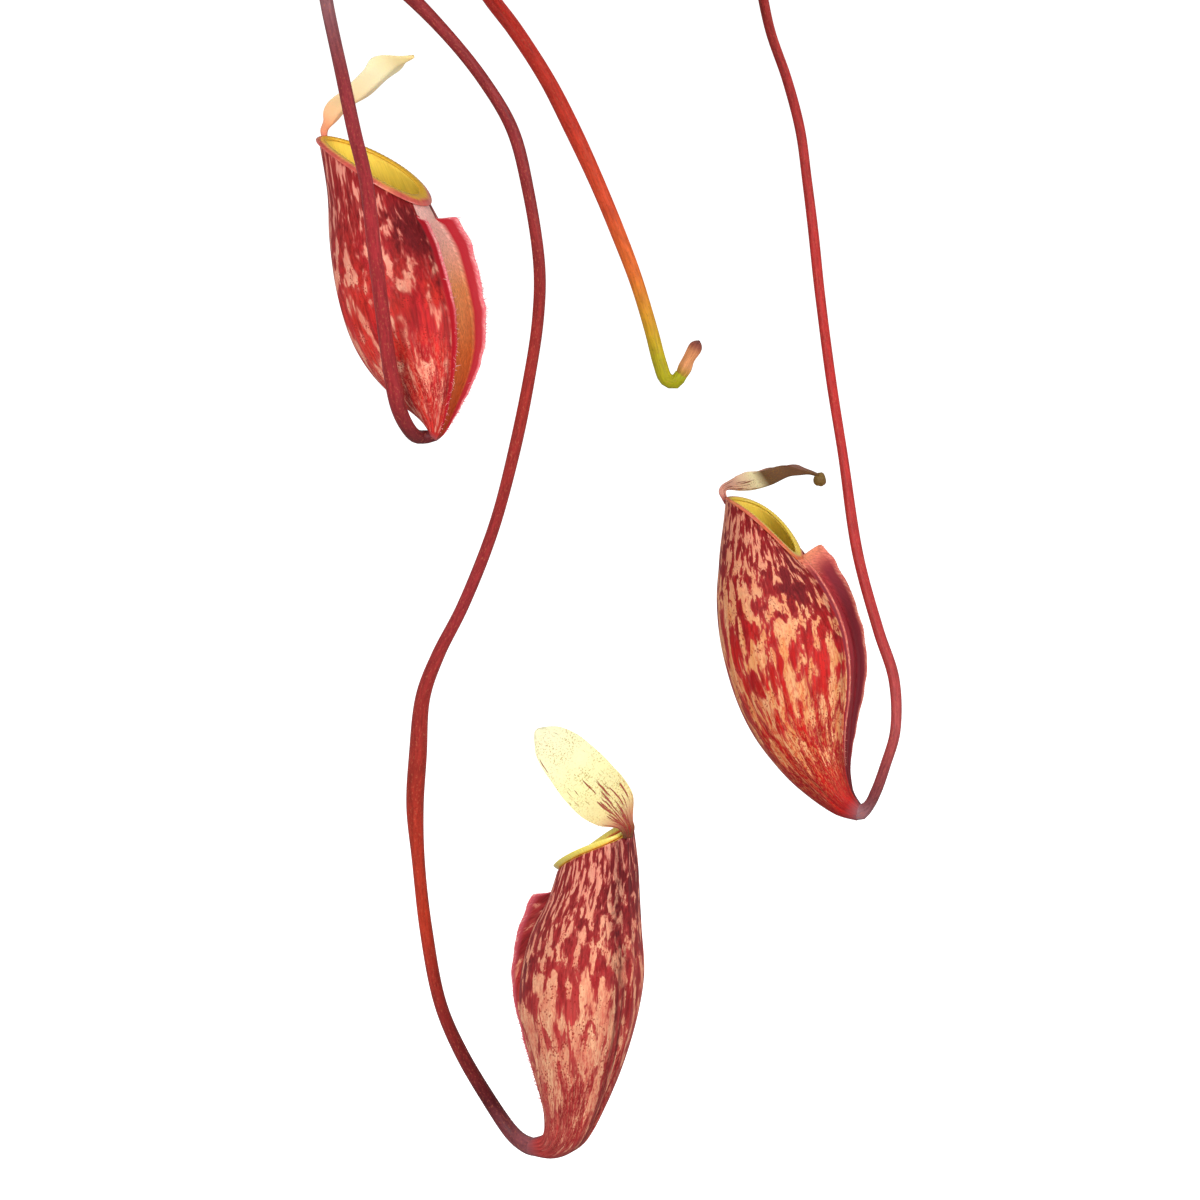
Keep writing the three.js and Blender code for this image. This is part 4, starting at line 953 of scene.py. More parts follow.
def moss_strand_bodies(count):
    """Strands of the moss, most of them on top and some out of the gaps, lying every way."""
    rng = np.random.default_rng(41)
    half = BASKET_WIDTH / 2 - SLAT_THICKNESS - 2
    x, y = rng.uniform(-half, half, (2, count))
    top = np.column_stack([x, y, moss_height(x, y) - 0.6])
    turn = rng.uniform(0, 2 * np.pi, count)
    length = rng.uniform(5, 13, count)
    lean = rng.uniform(0.1, 0.6, count)
    near_edge = np.maximum(np.abs([x, y]).max(0) / half - 0.6, 0)[:, None]
    inward = -np.column_stack([x, y]) / half * near_edge * 3
    along = np.column_stack([np.cos(turn) + inward[:, 0], np.sin(turn) + inward[:, 1], lean])
    bends = np.column_stack([rng.normal(0, 2.2, (count, 2)), -rng.uniform(0.5, 4, count)])
    radii = rng.uniform(0.3, 0.6, count)
    along = unit(along) * length[:, None]
    made = [strands(top, along, bends, radii, 6, 5, level=rng.uniform(0, 1, count))]
    few = count // 3
    for facing_y in (True, False):
        layers = np.array([3, 5] if facing_y else [2, 4])[rng.integers(0, 2, few)]
        z = BASKET_FOOT_Z + (layers + rng.uniform(0.3, 0.7, few)) * SLAT_HEIGHT
        sign = rng.choice([-1, 1], few)
        place = rng.uniform(-52, 52, few)
        out = (half + 1 + gap_bulge(z, facing_y) - 0.8) * sign
        root = np.column_stack([place, out, z] if facing_y else [out, place, z])
        tangent = rng.normal(0, 1, few) * 5
        push = sign * rng.uniform(0.8, 2.2, few)
        rise = rng.normal(0, 0.8, few)
        along = np.column_stack([tangent, push, rise] if facing_y else [push, tangent, rise])
        bends = rng.normal(0, 0.6, (few, 3)) * (1, 1, 0.4)
        radii = rng.uniform(0.3, 0.5, few)
        made.append(strands(root, along, bends, radii, 6, 5, level=rng.uniform(0, 1, few)))
    return made


def on_circle(centre_z, radius, degrees):
    """Points on an upright circle about the Z axis, in the XZ plane."""
    a = np.radians(degrees)
    return np.column_stack([radius * np.cos(a), 0 * a, centre_z + radius * np.sin(a)])


def hook_body():
    """The S hook: a round rod round the upper bight, down the slanting shank and round the lower."""
    top = on_circle(HOOK_WIRE_RADIUS - HOOK_TOP_RADIUS, HOOK_TOP_RADIUS, np.arange(215, -46, -20.0))
    low = on_circle(HOOK_LOW_CENTRE_Z, HOOK_LOW_RADIUS, np.arange(150, 391, 20.0))
    return tube(curve(np.vstack([top, low]), 260)[:, :3], HOOK_WIRE_RADIUS, 28)


def wire_body(corner, place):
    """A wire: an eye round the hook's lower bight, a straight run to a corner, down, and a bent foot."""
    angle = np.radians(-90 + np.degrees(place * EYE_PITCH / HOOK_LOW_RADIUS))
    out = np.array([np.cos(angle), 0, np.sin(angle)])
    bight = np.array([0, 0, HOOK_LOW_CENTRE_Z]) + HOOK_LOW_RADIUS * out
    centre = bight + out * (EYE_RADIUS - WIRE_RADIUS - HOOK_WIRE_RADIUS - 0.3)
    across = np.array([0, np.sign(corner[1]), 0])
    a = np.radians(np.arange(-50, 251, 25.0))[:, None]
    eye = centre - EYE_RADIUS * (across * np.sin(a) + out * np.cos(a))
    bend = np.array([*corner, RIM_Z + 4])
    run = [eye[-1] + (bend - eye[-1]) * t for t in (0.06, 0.3, 0.5, 0.75, 0.985)]
    foot = BASKET_FOOT_Z - WIRE_RADIUS - 0.8
    inward = -np.sign(corner[0])
    last = [
        (*corner, RIM_Z + 1),
        (*corner, (RIM_Z + foot) / 2),
        (*corner, foot + 2.2),
        (corner[0] + inward * 0.7, corner[1], foot + 0.6),
        (corner[0] + inward * 2.4, corner[1], foot),
        (corner[0] + inward * WIRE_FOOT, corner[1], foot),
    ]
    return tube(curve(np.vstack([eye, run, last]), 420), WIRE_RADIUS, 18, side=(0.7, 0.6, 0.4))


# ---------- finishes ----------


# How each of a mesh's values is read.
READ_AS = {
    "level": "Fac", "inside": "Fac", "tint": "Color", "grain": "Vector", "zones": "Vector", "marks": "Vector",
}


def add_node(tree, kind, *values, output=None, stops=None, **named):
    """Adds a node and returns one of its outputs, by name or the first in use.

    The values fill its sockets in order. Of the named ones, those in small letters are the node's
    own settings and the others sockets. A socket takes a number, a vector, a hex colour or another
    node's output. stops are a colour ramp's colours by their places.
    """
    made = tree.nodes.new("ShaderNode" + kind)
    if kind == "Mix":
        made.data_type = "RGBA"
    for key in filter(str.islower, named):
        setattr(made, key, named[key])
    sockets = [socket for socket in made.inputs if socket.enabled]
    filled = list(zip(sockets, values)) + [(s, named[s.name]) for s in sockets if s.name in named]
    for socket, value in filled:
        if isinstance(value, bpy.types.NodeSocket):
            tree.links.new(value, socket)
        else:
            socket.default_value = linear(value) if isinstance(value, str) else value
    for n, (place, tint) in enumerate((stops or {}).items()):
        elements = made.color_ramp.elements
        element = elements[n] if n < len(elements) else elements.new(place)
        element.position, element.color = place, linear(tint) if isinstance(tint, str) else tint
    return made.outputs[output] if output else next(s for s in made.outputs if s.enabled)


def material(name, **constants):
    """A new material whose shader has these plain values, and the helper bound to its tree."""
    made = bpy.data.materials.new(name)
    made.use_nodes = True
    shader = made.node_tree.nodes["Principled BSDF"]
    for key, value in constants.items():
        shader.inputs[key.replace("_", " ").title().replace("Ior", "IOR")].default_value = value
    return made, partial(add_node, made.node_tree)


def finish(made, base, rough=None, height=None, distance=0.0):
    """Links a colour, a roughness and a height in units of distance to the shader of a material."""
    tree = made.node_tree
    shader = tree.nodes["Principled BSDF"]
    tree.links.new(base, shader.inputs["Base Color"])
    if rough:
        tree.links.new(rough, shader.inputs["Roughness"])
    if height:
        bump = add_node(tree, "Bump", Height=height, Distance=distance, Strength=1.0)
        tree.links.new(bump, shader.inputs["Normal"])
    return made


def shaded(add, base, noise, dark, light, low=0.3, high=0.7):
    """A colour times dark where a noise is low, and times light where it is high."""
    return add("Mix", 1.0, base, add("MapRange", noise, low, high, dark, light), blend_type="MULTIPLY")


def laid(add, base, tint, value, low, high, strength=1.0):
    """A colour with a tint laid over it, more and more as a value goes from low to high."""
    return add("Mix", add("MapRange", value, low, high, 0.0, strength), base, tint)


def pitcher_wall(settings, name, form):
    """Living pitcher skin: thin, waxy and finely felted, red with ragged cream patches that run
    lengthwise. It gives the eye a soft, broken sheen and a pattern drawn out from base to mouth."""
    made, add = material(
        f"waxy_skin_of_{name}", specular_ior_level=0.12, subsurface_weight=0.06, subsurface_scale=0.002
    )
    keys = ("grain", "level", "inside", "tint", "zones", "marks")
    grain, level, inside, face, zones, marks = (
        add("Attribute", output=READ_AS[key], attribute_name=key) for key in keys
    )
    front, wing, lines = (add("SeparateXYZ", zones, output=axis) for axis in "XYZ")
    red, pink, maroon = (add("SeparateXYZ", marks, output=axis) for axis in "XYZ")

    # Patches about 3 mm wide and 9 mm long, finer near the mouth, with ragged soft edges.
    drawn = add("VectorMath", grain, (1, 1, 0.29), operation="MULTIPLY")
    scale, detail, softness = form["pattern"]
    coarse = add("TexNoise", drawn, scale, detail, 0.55, Distortion=0.3)
    over = add("Math", coarse, red, operation="SUBTRACT")
    cover = settings.cover
    patch = add("MapRange", over, cover, cover + softness, interpolation_type="SMOOTHSTEP")
    halo = add("MapRange", over, cover - 0.07, cover + 0.03, 0.0, 0.5, interpolation_type="SMOOTHSTEP")

    # Red skin: scarlet to crimson, turning maroon, in lengthwise veins, with a rosy edge to each patch.
    slow = add("TexNoise", drawn, 0.16, 3.0, 0.6)
    deep_red, bright_red, dark_cream, light_cream = form["skin_tints"]
    skin = laid(add, deep_red, bright_red, slow, 0.42, 0.62)
    turned = add("Math", slow, maroon, operation="ADD")
    skin = laid(add, skin, settings.maroon, turned, 0.6, 1.35)
    vein = add("VectorMath", grain, (1, 1, 0.06), operation="MULTIPLY")
    vein = add("TexNoise", vein, 1.0, 3.0, 0.6)
    skin = shaded(add, skin, vein, 0.55, 1.35)
    skin = add("Mix", halo, skin, settings.rose)

    # Stipple of 0.5 mm: peach on the red of the lower third, and red on the cream of the lower half.
    fine = add("TexNoise", drawn, 1.9, 2.0, 0.65)
    strengths = {0.08: 0.05, 0.22: 0.42, 0.35: 0.5, 0.55: 0}
    low = add("ValToRGB", level, stops={place: (v, v, v, 1) for place, v in strengths.items()})
    skin = laid(add, skin, dark_cream, fine, 0.5, 0.6, low)

    # Cream patches, pinker where the marks say so, with red specks of 0.4 mm.
    pale = add("TexNoise", drawn, 0.35, 3.0, 0.6)
    cream = laid(add, dark_cream, light_cream, pale, 0.36, 0.64)
    dissolved = add("MapRange", level, 0.75, 0.25, 0.25, 0.85)
    cream = laid(add, cream, bright_red, fine, 0.53, 0.43, dissolved)
    cream = add("Mix", pink, cream, settings.pink, clamp_factor=True)
    cream = shaded(add, cream, vein, 0.86, 1.06)
    skin = add("Mix", patch, skin, cream)
    cell = add("TexVoronoi", Vector=grain, Scale=1.1, Randomness=1.0, output="Distance")
    cluster = add("TexNoise", grain, 0.2, 2.0)
    crowd = add("MapRange", level, 0.95, 0.3, -0.08, 0.06)
    crowd = add("Math", cluster, crowd, operation="ADD")
    reach = add("MapRange", crowd, 0.38, 0.62, 0.08, 0.36)
    short = add("Math", reach, cell, operation="SUBTRACT")
    skin = laid(add, skin, settings.speck, short, -0.03, 0.08, 0.78)

    # Dark lines, the face between the wings, the wings and the yellow inside.
    broken = add("MapRange", vein, 0.35, 0.6, 1.0, 0.35)
    line = add("Math", lines, broken, operation="MULTIPLY", use_clamp=True)
    skin = add("Mix", line, skin, settings.line)
    face = shaded(add, face, fine, 0.74, 1.18, 0.35, 0.65)
    skin = add("Mix", front, skin, face)
    foot, rim, fleck = form["wing_tints"]
    crest = add("ValToRGB", wing, stops={0: foot, 0.7: foot, 0.92: rim})
    crest = laid(add, crest, fleck, fine, 0.5, 0.62, add("MapRange", wing, 0.7, 1.0, 0.0, 0.8))
    crest = laid(add, crest, face, level, 0.84, 0.92, form["ear"])
    skin = laid(add, skin, crest, wing, form["wing_from"], form["wing_from"] + 0.25)
    # Yellow inside, painted lighter towards the mouth as painted light through the thin wall, and painted
    # darker deeper down as painted shade.
    glow_and_shade_yellows = {0.3: "#b89a38", 0.6: "#e8c83c", 0.85: "#fbdc48", 1: "#fbd858"}
    painted_glow_throat = shaded(add, add("ValToRGB", level, stops=glow_and_shade_yellows), vein, 0.86, 1.06)
    skin = add("Mix", inside, skin, painted_glow_throat)
    skin = laid(add, skin, settings.bloom, level, 0.075, 0.0, 0.8)
    rough = add("MapRange", fine, 0.0, 1.0, 0.4, 0.6)
    return finish(made, skin, rough, vein, 0.00012)


def pitcher_lip():
    """The lip: hard, glazed with nectar and finely ribbed, so it catches a thin bright line."""
    made, add = material(
        "glazed_ribbed_lip", roughness=0.25, specular_ior_level=0.45, coat_weight=0.25, coat_roughness=0.15
    )
    tint, grain = (add("Attribute", output=READ_AS[key], attribute_name=key) for key in ("tint", "grain"))
    # Patches 2 degrees wide round the mouth, or about 0.5 mm.
    patchy = add("TexNoise", grain, 0.5, 3.0)
    return finish(made, shaded(add, tint, patchy, 0.82, 1.1))


def pitcher_lid(settings):
    """A lid: a thin, matt, half clear blade with dark veins that fan out from its hinge."""
    made, add = material(
        "thin_felted_lid", specular_ior_level=0.25, subsurface_weight=0.08, subsurface_scale=0.001
    )
    keys = ("grain", "zones", "tint")
    grain, zones, tint = (add("Attribute", output=READ_AS[key], attribute_name=key) for key in keys)
    veins, specks = (add("SeparateXYZ", zones, output=axis) for axis in "XY")
    # Veins 0.6 mm wide and 7 mm long, then specks of 0.4 mm in clusters of 4 mm.
    fan = add("VectorMath", grain, (1.6, 0.14, 1), operation="MULTIPLY")
    streak = add("TexNoise", fan, 1.0, 2.5, 0.6)
    streak = add("Math", streak, add("Math", veins, 0.16, operation="MULTIPLY"), operation="ADD")
    streak = add("MapRange", streak, 0.63, 0.67, 0.0, 0.95)
    base = add("Mix", streak, tint, settings.lid_vein)
    dots = add("TexNoise", grain, 2.6, 2.0, 0.7)
    spread = add("TexNoise", grain, 0.25, 2.0)
    some = add("MapRange", spread, 0.36, 0.62, 0.15, 0.75)
    some = add("Math", some, specks, operation="MULTIPLY")
    base = laid(add, base, settings.lid_speck, dots, 0.53, 0.62, some)
    rough = add("MapRange", spread, 0.3, 0.7, 0.42, 0.58)
    return finish(made, base, rough, streak, 0.0001)


def wing_fringe(name, form):
    """Soft plant hairs: fine, pale at their tips and dull, a rosy haze along each wing."""
    made, add = material(f"soft_hair_of_{name}", roughness=0.7, specular_ior_level=0.2, sheen_weight=0.2)
    lot = add("Attribute", output="Fac", attribute_name="level")
    return finish(made, add("Mix", lot, *form["wing_tints"][1:]))


def tendril_skin(settings):
    """Tendril skin: tough, slightly waxy and finely freckled, with a satin line of light along it."""
    made, add = material("satin_tendril_skin", specular_ior_level=0.16)
    tint, grain = (add("Attribute", output=READ_AS[key], attribute_name=key) for key in ("tint", "grain"))
    # Fibres 0.7 mm wide and 6 mm long, then freckles of 0.4 by 0.9 mm.
    fibre = add("VectorMath", grain, (1, 1, 0.12), operation="MULTIPLY")
    fibre = add("TexNoise", fibre, 1.5, 3.0, 0.6)
    base = shaded(add, tint, fibre, 0.72, 1.25)
    freckle = add("VectorMath", grain, (1, 1, 0.45), operation="MULTIPLY")
    freckle = add("TexNoise", freckle, 2.4, 2.0, 0.6)
    base = laid(add, base, settings.freckle, freckle, 0.58, 0.68, settings.freckles)
    base = laid(add, base, settings.shade, freckle, 0.4, 0.3, 0.35)
    rough = add("MapRange", freckle, 0.3, 0.7, 0.38, 0.55)
    return finish(made, base, rough, fibre, 0.0001)


def leaf_skin(settings):
    """Leaf: leathery, waxed on top, paler and duller below, with lengthwise nerves and fine cross veins."""
    made, add = material("waxed_leaf", specular_ior_level=0.45, coat_weight=0.15, coat_roughness=0.25)
    keys = ("grain", "zones", "level")
    grain, zones, level = (add("Attribute", output=READ_AS[key], attribute_name=key) for key in keys)
    across, along = (add("SeparateXYZ", grain, output=axis) for axis in "XY")
    share, top, youth = (add("SeparateXYZ", zones, output=axis) for axis in "XYZ")
    # Clouds of deeper green 17 mm across.
    slow = add("TexNoise", grain, 0.06, 4.0, 0.6)
    green = laid(add, settings.green, settings.deep_green, slow, 0.35, 0.65)
    green = laid(add, green, settings.young_green, youth, 0.0, 1.0, 0.6)
    base = add("Mix", top, add("Mix", 0.65, green, settings.underside), green)

    # Nerves at fixed shares of the half width, and cross veins every 1.8 mm that slant forward.
    nerve = add("Math", share, 4.0, operation="MULTIPLY")
    nerve = add("Math", nerve, 0.5, operation="PINGPONG")
    nerve = add("MapRange", nerve, 0.035, 0.0, 0.0, 0.5)
    middle = add("Math", across, operation="ABSOLUTE")
    slant = add("Math", middle, 0.55, operation="MULTIPLY")
    cross = add("Math", add("Math", along, slant, operation="SUBTRACT"), slow, operation="ADD")
    cross = add("Math", cross, 0.9, operation="PINGPONG")
    cross = add("MapRange", cross, 0.2, 0.0, 0.0, 0.3)
    veins = add("Math", nerve, cross, operation="MAXIMUM")
    base = add("Mix", veins, base, settings.vein)
    rib = add("ValToRGB", level, stops={0: settings.vein, 0.55: settings.vein, 1: settings.rib_red})
    base = laid(add, base, rib, middle, 1.3, 0.7)
    base = laid(add, base, settings.rib_red, share, 0.965, 0.995, 0.8)
    # Spots of 3 mm.
    spots = add("TexNoise", grain, 0.35, 4.0, 0.7)
    base = laid(add, base, settings.rib_red, spots, 0.68, 0.76, 0.6)
    rough = add("MapRange", top, 0.0, 1.0, 0.6, 0.36)
    return finish(made, base, rough, veins, 0.00025)


def stem_skin():
    """Woody climbing stem: dull green-brown bark with pale rings where leaves have dropped."""
    made, add = material("green_brown_bark", roughness=0.65, specular_ior_level=0.3)
    level, grain = (add("Attribute", output=READ_AS[key], attribute_name=key) for key in ("level", "grain"))
    # Strips of bark 1 mm wide and 6 mm long.
    drawn = add("VectorMath", grain, (1, 1, 0.2), operation="MULTIPLY")
    rough = add("TexNoise", drawn, 0.9, 5.0, 0.65)
    greens = {0: "#4c3b26", 0.35: "#5c5a2e", 0.6: "#66752f", 0.8: "#7c9a3a", 1: "#a4683c"}
    base = shaded(add, add("ValToRGB", level, stops=greens), rough, 0.6, 1.3)
    return finish(made, base, None, rough, 0.0005)


def bog_moss(settings):
    """Bog moss: damp, springy and dull, straw where it has dried and olive where it grows."""
    made, add = material("long_fibred_bog_moss", roughness=0.9, specular_ior_level=0.15, sheen_weight=0.4)
    # Dry patches 22 mm across and a tangle of strands 1 mm thick.
    place = add("TexCoord", output="Object")
    patchy = add("TexNoise", place, 45.0, 3.0)
    tangle = add("TexNoise", place, 900.0, 3.0, 0.7)
    base = laid(add, settings.moss_green, settings.moss_straw, patchy, 0.38, 0.62)
    base = shaded(add, base, tangle, 0.35, 1.25)
    return finish(made, base, None, tangle, 0.0012)


def sawn_wood(settings, name, scale):
    """Sawn cedar slats: open straight grain along each slat, silvered by weather, with matt fibres."""
    made, add = material(name, specular_ior_level=0.25)
    place = add("TexCoord", output="Object")
    along = add("VectorMath", place, scale, operation="MULTIPLY")
    # Bands of the size that scale gives, and fibres a sixth of it.
    bands = add("TexNoise", along, 1.0, 4.0, 0.6, Distortion=0.4)
    fibres = add("TexNoise", along, 6.0, 3.0, 0.7)
    main, dark = settings.wood, settings.wood_dark
    tints = {0.32: dark, 0.45: main, 0.55: main, 0.62: dark, 0.72: main}
    base = shaded(add, add("ValToRGB", bands, stops=tints), fibres, 0.72, 1.12)
    # Silvered patches 33 mm across.
    worn = add("TexNoise", place, 30.0, 4.0)
    base = laid(add, base, settings.wood_grey, worn, 0.45, 0.75, 0.5)
    rough = add("MapRange", fibres, 0.0, 1.0, 0.6, 0.85)
    return finish(made, base, rough, fibres, 0.0003)


def galvanised_wire(settings):
    """Galvanised steel wire: bright zinc gone matt, with cloudy spangle 3 mm across."""
    made, add = material("galvanised_steel_wire", metallic=1.0)
    spangle = add("TexNoise", add("TexCoord", output="Object"), 320.0, 3.0)
    base = laid(add, settings.zinc, settings.zinc_dull, spangle, 0.35, 0.65)
    rough = add("MapRange", spangle, 0.3, 0.7, 0.28, 0.5)
    return finish(made, base, rough, spangle, 0.00004)


def pale_paper(settings):
    """Seamless background paper: matt, pale and even."""
    made, add = material(
        "matt_background_paper", roughness=0.95, specular_ior_level=0.1, emission_color=(1, 1, 1, 1),
        emission_strength=0.8,
    )
    # Faint clouds 0.3 m across.
    cloud = add("TexNoise", add("TexCoord", output="Object"), 3.0)
    return finish(made, shaded(add, settings.floor, cloud, 0.99, 1.0, 0.0, 1.0))


# ---------- settings ----------


class PitcherSettings(bpy.types.PropertyGroup):
    """Colours and sizes of the pitchers, their lips, lids and wings."""

    maroon: colour("Maroon", "Dusky red of the wall near the mouth", "#701c20")
    rose: colour("Rose", "Rosy edge of a patch", "#c4504a")
    pink: colour("Pink", "Colour of patches near the mouth and base", "#e08c7c")
    speck: colour("Specks", "Fine dark specks", "#96201c")
    line: colour("Lines", "Dark lines beside the wings and down the back", "#58161a")
    bloom: colour("Bloom", "Waxy bloom where the tendril joins", "#8a5a60")
    lid_vein: colour("Lid Veins", "Dark veins of the lids", "#8c2420")
    lid_speck: colour("Lid Specks", "Fine specks of the lids", "#a07428")
    cover: number(
        "Cover", "Level of the pattern above which the skin is cream", 0.515, max=1, subtype="FACTOR"
    )
    hair: number("Hairs", "Length of the wings' hairs over each pitcher's own", 1, subtype="FACTOR")


class TendrilSettings(bpy.types.PropertyGroup):
    """Colours of the tendrils and the bud."""

    freckle: colour("Freckles", "Light freckles", "#c06a4c")
    shade: colour("Shade", "Dark freckles", "#3f1216")
    freckles: number(
        "Freckle Strength", "How strong the light freckles are", 0.4, max=1, subtype="FACTOR"
    )


class LeafSettings(bpy.types.PropertyGroup):
    """Colours and thickness of the leaves."""

    green: colour("Green", "Main green of a grown leaf", "#4d7a26")
    deep_green: colour("Deep Green", "Darker green of a grown leaf", "#33591c")
    young_green: colour("Young Green", "Green of a young leaf", "#7fa03a")
    underside: colour("Underside", "Paler green below", "#8aa35c")
    vein: colour("Veins", "Nerves and midrib", "#9db25a")
    rib_red: colour("Red", "Edge, spots and midrib near the tip", "#7e3427")
    thickness: size("Thickness", "Thickness of a leaf in its middle", 0.9)


class BasketSettings(bpy.types.PropertyGroup):
    """Colours of the basket, its moss and its wires."""

    wood: colour("Wood", "Main colour of the slats", "#a9764a")
    wood_dark: colour("Dark Grain", "Dark bands of the grain", "#7a4c2b")
    wood_grey: colour("Silvering", "Weathered grey of the wood", "#98897a")
    moss_green: colour("Green Moss", "Growing moss", "#6f7c2e")
    moss_straw: colour("Dry Moss", "Dried moss", "#b09a5c")
    zinc: colour("Zinc", "Bright zinc", "#c9cdd1")
    zinc_dull: colour("Dull Zinc", "Oxidised zinc", "#9a9ea2")
    strands: bpy.props.IntProperty(
        name="Strands", description="Number of loose moss strands on top", default=1500, min=0
    )


class StageSettings(bpy.types.PropertyGroup):
    """The floor, the light and the camera."""

    floor: colour("Floor", "Colour of the floor", "#f7f7f7")
    drop: size("Drop", "Height of the plant's lowest point above the floor", 300)
    ambient: number("Ambient", "Strength of the light all round", 0.42)
    lamps: number("Lamps", "Power of the main soft lamp", 50, unit="POWER")
    distance: size("Distance", "Distance from the camera to its aim", VIEW_DISTANCE)


SETTINGS = {
    "pitcher_plant_pitchers": PitcherSettings,
    "pitcher_plant_tendrils": TendrilSettings,
    "pitcher_plant_leaves": LeafSettings,
    "pitcher_plant_basket": BasketSettings,
    "pitcher_plant_stage": StageSettings,
}


# ---------- operators ----------


class PITCHER_PLANT_OT_basket(bpy.types.Operator):
    """Gives the slats of the basket their wood"""

    bl_idname = "pitcher_plant.basket"
    bl_label = "Basket"

    def execute(self, context):
        settings = context.scene.pitcher_plant_basket
        # Bands 3 mm apart and 60 mm long, along X or along Y.
        along_x = sawn_wood(settings, "sawn_cedar_along_x", (16, 330, 330))
        along_y = sawn_wood(settings, "sawn_cedar_along_y", (330, 16, 330))
        for name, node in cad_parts.items():
            if "slat" in name:
                wood = along_x if name.startswith(("slat_front", "slat_back")) else along_y
                for place in node.material_slots:
                    place.material = wood
        return {"FINISHED"}


class PITCHER_PLANT_OT_wires(bpy.types.Operator):
    """Builds the hook and the four wires"""

    bl_idname = "pitcher_plant.wires"
    bl_label = "Hook and Wires"

    def execute(self, context):
        steel = galvanised_wire(context.scene.pitcher_plant_basket)
        piece("hook_rod", [hook_body()], steel, ["hook"])
        # Each wire: the side of X and of Y that its corner is on, and its eye's place along the bight.
        corners = {
            "front_left": (-1, -1, -1.5), "back_left": (-1, 1, -0.5),
            "front_right": (1, -1, 0.5), "back_right": (1, 1, 1.5),
        }
        for name, (x, y, place) in corners.items():
            rod = wire_body((x * SLAT_MIDDLE, y * SLAT_MIDDLE), place)
            piece(f"wire_{name}_rod", [rod], steel, [f"wire_{name}"])
        return {"FINISHED"}


class PITCHER_PLANT_OT_moss(bpy.types.Operator):
    """Builds the moss and its loose strands"""

    bl_idname = "pitcher_plant.moss"
    bl_label = "Moss"

    def execute(self, context):
        settings = context.scene.pitcher_plant_basket
        moss = bog_moss(settings)
        piece("moss_bed", [moss_body()], moss, ["moss"])
        piece("moss_strands", moss_strand_bodies(settings.strands), moss)
        return {"FINISHED"}


class PITCHER_PLANT_OT_stem(bpy.types.Operator):
    """Builds the stem and the rolled new leaf at its top"""

    bl_idname = "pitcher_plant.stem"
    bl_label = "Stem"

    def execute(self, context):
        piece("stem_bark", stem_bodies(), stem_skin(), ["stem"])
        return {"FINISHED"}


class PITCHER_PLANT_OT_leaves(bpy.types.Operator):
    """Builds the ten leaves"""

    bl_idname = "pitcher_plant.leaves"
    bl_label = "Leaves"

    def execute(self, context):
        settings = context.scene.pitcher_plant_leaves
        skin = leaf_skin(settings)
        for name in LEAVES:
            piece(f"{name}_blade", [leaf_body(name, settings.thickness / MM)], skin, [name])
        return {"FINISHED"}


class PITCHER_PLANT_OT_tendrils(bpy.types.Operator):
    """Builds the eight tendrils"""

    bl_idname = "pitcher_plant.tendrils"
    bl_label = "Tendrils"

    def execute(self, context):
        skin = tendril_skin(context.scene.pitcher_plant_tendrils)
        for name in (f"tendril_{n}" for n in range(1, 9)):
            piece(f"{name}_skin", [tendril_body(name)], skin, [name])
        return {"FINISHED"}


class PITCHER_PLANT_OT_bud(bpy.types.Operator):
    """Builds the unopened pitcher"""

    bl_idname = "pitcher_plant.bud"
    bl_label = "Bud"

    def execute(self, context):
        skin = tendril_skin(context.scene.pitcher_plant_tendrils)
        piece("bud_shell", [bud_body()], skin, ["bud"])
        return {"FINISHED"}


class PITCHER_PLANT_OT_walls(bpy.types.Operator):
    """Builds the walls of the three pitchers, with their wings and fringes"""

    bl_idname = "pitcher_plant.walls"
    bl_label = "Pitcher Walls"

    def execute(self, context):
        settings = context.scene.pitcher_plant_pitchers
        for name, form in PITCHERS.items():
            skin, hair = pitcher_wall(settings, name, form), wing_fringe(name, form)
            piece(f"{name}_skin", [cup_body(form)], skin, [f"{name}_cup"])
            piece(f"{name}_fringe", [fringe_body(form, form["hair"] * settings.hair)], hair)
        return {"FINISHED"}


class PITCHER_PLANT_OT_lips(bpy.types.Operator):
    """Builds the ribbed lips of the three pitchers"""

    bl_idname = "pitcher_plant.lips"
    bl_label = "Pitcher Lips"

    def execute(self, context):
        glaze = pitcher_lip()
        for name, form in PITCHERS.items():
            piece(f"{name}_lip", [lip_body(form)], glaze, [f"{name}_rim"])
        return {"FINISHED"}


class PITCHER_PLANT_OT_lids(bpy.types.Operator):
    """Builds the lids of the three pitchers and the spurs behind them"""

    bl_idname = "pitcher_plant.lids"
    bl_label = "Pitcher Lids"

    def execute(self, context):
        felt = pitcher_lid(context.scene.pitcher_plant_pitchers)
        for name, form in PITCHERS.items():
            bodies = [lid_body(form), spur_body(form)]
            if name == "right_pitcher":
                bodies.append(shrivelled_tip(form))
            piece(f"{name}_cover", bodies, felt, [f"{name}_lid"])
        return {"FINISHED"}


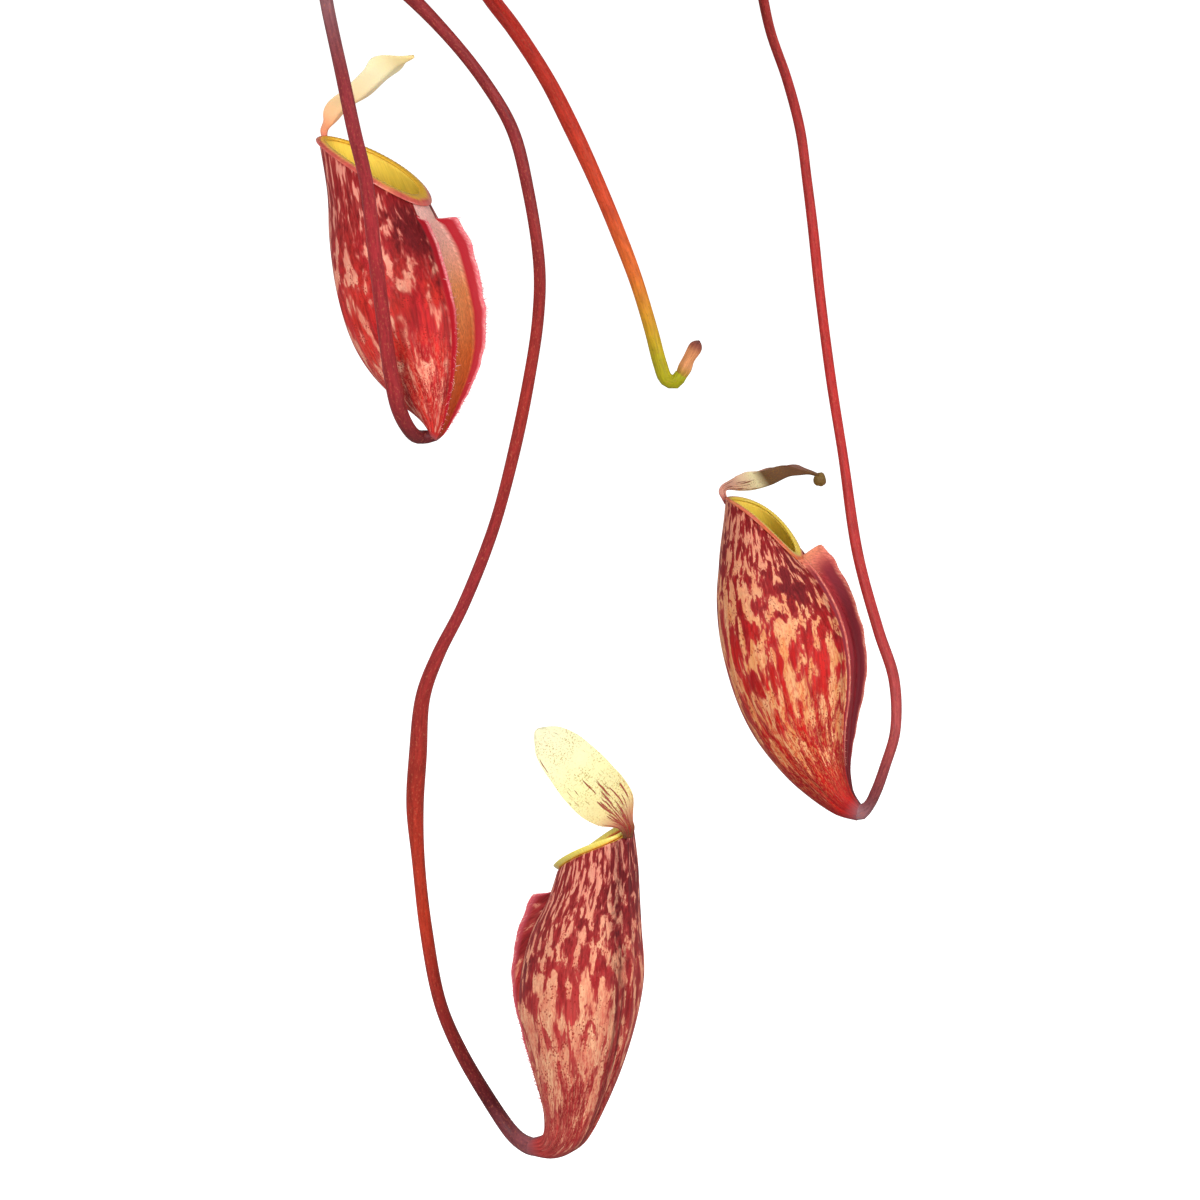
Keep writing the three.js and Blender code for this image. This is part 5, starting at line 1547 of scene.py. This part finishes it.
class PITCHER_PLANT_OT_stage(bpy.types.Operator):
    """Lays the floor, lights it softly and places the camera"""

    bl_idname = "pitcher_plant.stage"
    bl_label = "Stage"

    def execute(self, context):
        settings = context.scene.pitcher_plant_stage
        scene = context.scene
        # A grid of 9 x 9 points, 5 m apart.
        spots = np.linspace(-20, 20, 9)
        verts = [(x, y, cad_box[0][2] - settings.drop) for y in spots for x in spots]
        quads = [(n, n + 1, n + 10, n + 9) for n in range(71) if n % 9 < 8]
        mesh = bpy.data.meshes.new("floor")
        mesh.from_pydata(verts, [], quads)
        mesh.materials.append(pale_paper(settings))
        floor = bpy.data.objects.new("floor", mesh)
        scene.collection.objects.link(floor)
        # The floor glows so that it stays white, but it throws no light on the plant.
        floor.visible_diffuse = floor.visible_glossy = False

        aim = np.array(AIM) * MM
        # Each lamp: where it hangs from the aim, its width in metres and its share of the power.
        lamps = {
            "left_softbox": ((-1.0, -2.3, 0.9), 1.2, 1.0),
            "right_softbox": ((1.9, -1.7, 0.3), 1.4, 0.7),
            "top_softbox": ((0.2, 0.3, 2.2), 2.2, 0.5),
        }
        for name, (place, width, share) in lamps.items():
            data = bpy.data.lights.new(name, "AREA")
            data.size = width
            data.energy = settings.lamps * share
            lamp = bpy.data.objects.new(name, data)
            lamp.location = aim + place
            lamp.rotation_euler = Vector((-np.array(place)).tolist()).to_track_quat("-Z", "Y").to_euler()
            scene.collection.objects.link(lamp)
        world = bpy.data.worlds.new("white_room")
        world.use_nodes = True
        sky = world.node_tree.nodes["Background"].inputs
        sky["Color"].default_value = (1, 1, 1, 1)
        sky["Strength"].default_value = settings.ambient
        scene.world = world
        scene.view_settings.view_transform = "Standard"

        up = np.radians(VIEW_ELEVATION)
        data = bpy.data.cameras.new("camera")
        data.sensor_width = SENSOR
        data.lens = SENSOR * VIEW_DISTANCE / (MM_PER_PIXEL * FRAME_PIXELS)
        data.clip_end = 100
        camera = bpy.data.objects.new("camera", data)
        camera.location = aim + np.array([0, -np.cos(up), np.sin(up)]) * settings.distance
        camera.rotation_euler = (np.pi / 2 - up, 0, 0)
        scene.collection.objects.link(camera)
        scene.camera = camera
        return {"FINISHED"}


OPERATORS = [
    PITCHER_PLANT_OT_stage,
    PITCHER_PLANT_OT_basket,
    PITCHER_PLANT_OT_wires,
    PITCHER_PLANT_OT_moss,
    PITCHER_PLANT_OT_stem,
    PITCHER_PLANT_OT_leaves,
    PITCHER_PLANT_OT_tendrils,
    PITCHER_PLANT_OT_bud,
    PITCHER_PLANT_OT_walls,
    PITCHER_PLANT_OT_lips,
    PITCHER_PLANT_OT_lids,
]


class PITCHER_PLANT_PT_panel(bpy.types.Panel):
    """Lists the steps that build the plant, and their settings"""

    bl_idname = "PITCHER_PLANT_PT_panel"
    bl_label = "Hanging Pitcher Plant"
    bl_space_type = "VIEW_3D"
    bl_region_type = "UI"
    bl_category = "Pitcher Plant"

    def draw(self, context):
        for operator in OPERATORS:
            self.layout.operator(operator.bl_idname)
        for name, group in SETTINGS.items():
            box = self.layout.box()
            for prop in group.__annotations__:
                box.prop(getattr(context.scene, name), prop)


def register():
    for name, group in SETTINGS.items():
        bpy.utils.register_class(group)
        setattr(bpy.types.Scene, name, bpy.props.PointerProperty(type=group))
    for made in [*OPERATORS, PITCHER_PLANT_PT_panel]:
        bpy.utils.register_class(made)


def unregister():
    for made in [PITCHER_PLANT_PT_panel, *reversed(OPERATORS)]:
        bpy.utils.unregister_class(made)
    for name, group in SETTINGS.items():
        delattr(bpy.types.Scene, name)
        bpy.utils.unregister_class(group)


def main():
    register()
    for operator in OPERATORS:
        group, name = operator.bl_idname.split(".")
        getattr(getattr(bpy.ops, group), name)()
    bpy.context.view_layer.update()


if __name__ == "__main__":
    main()
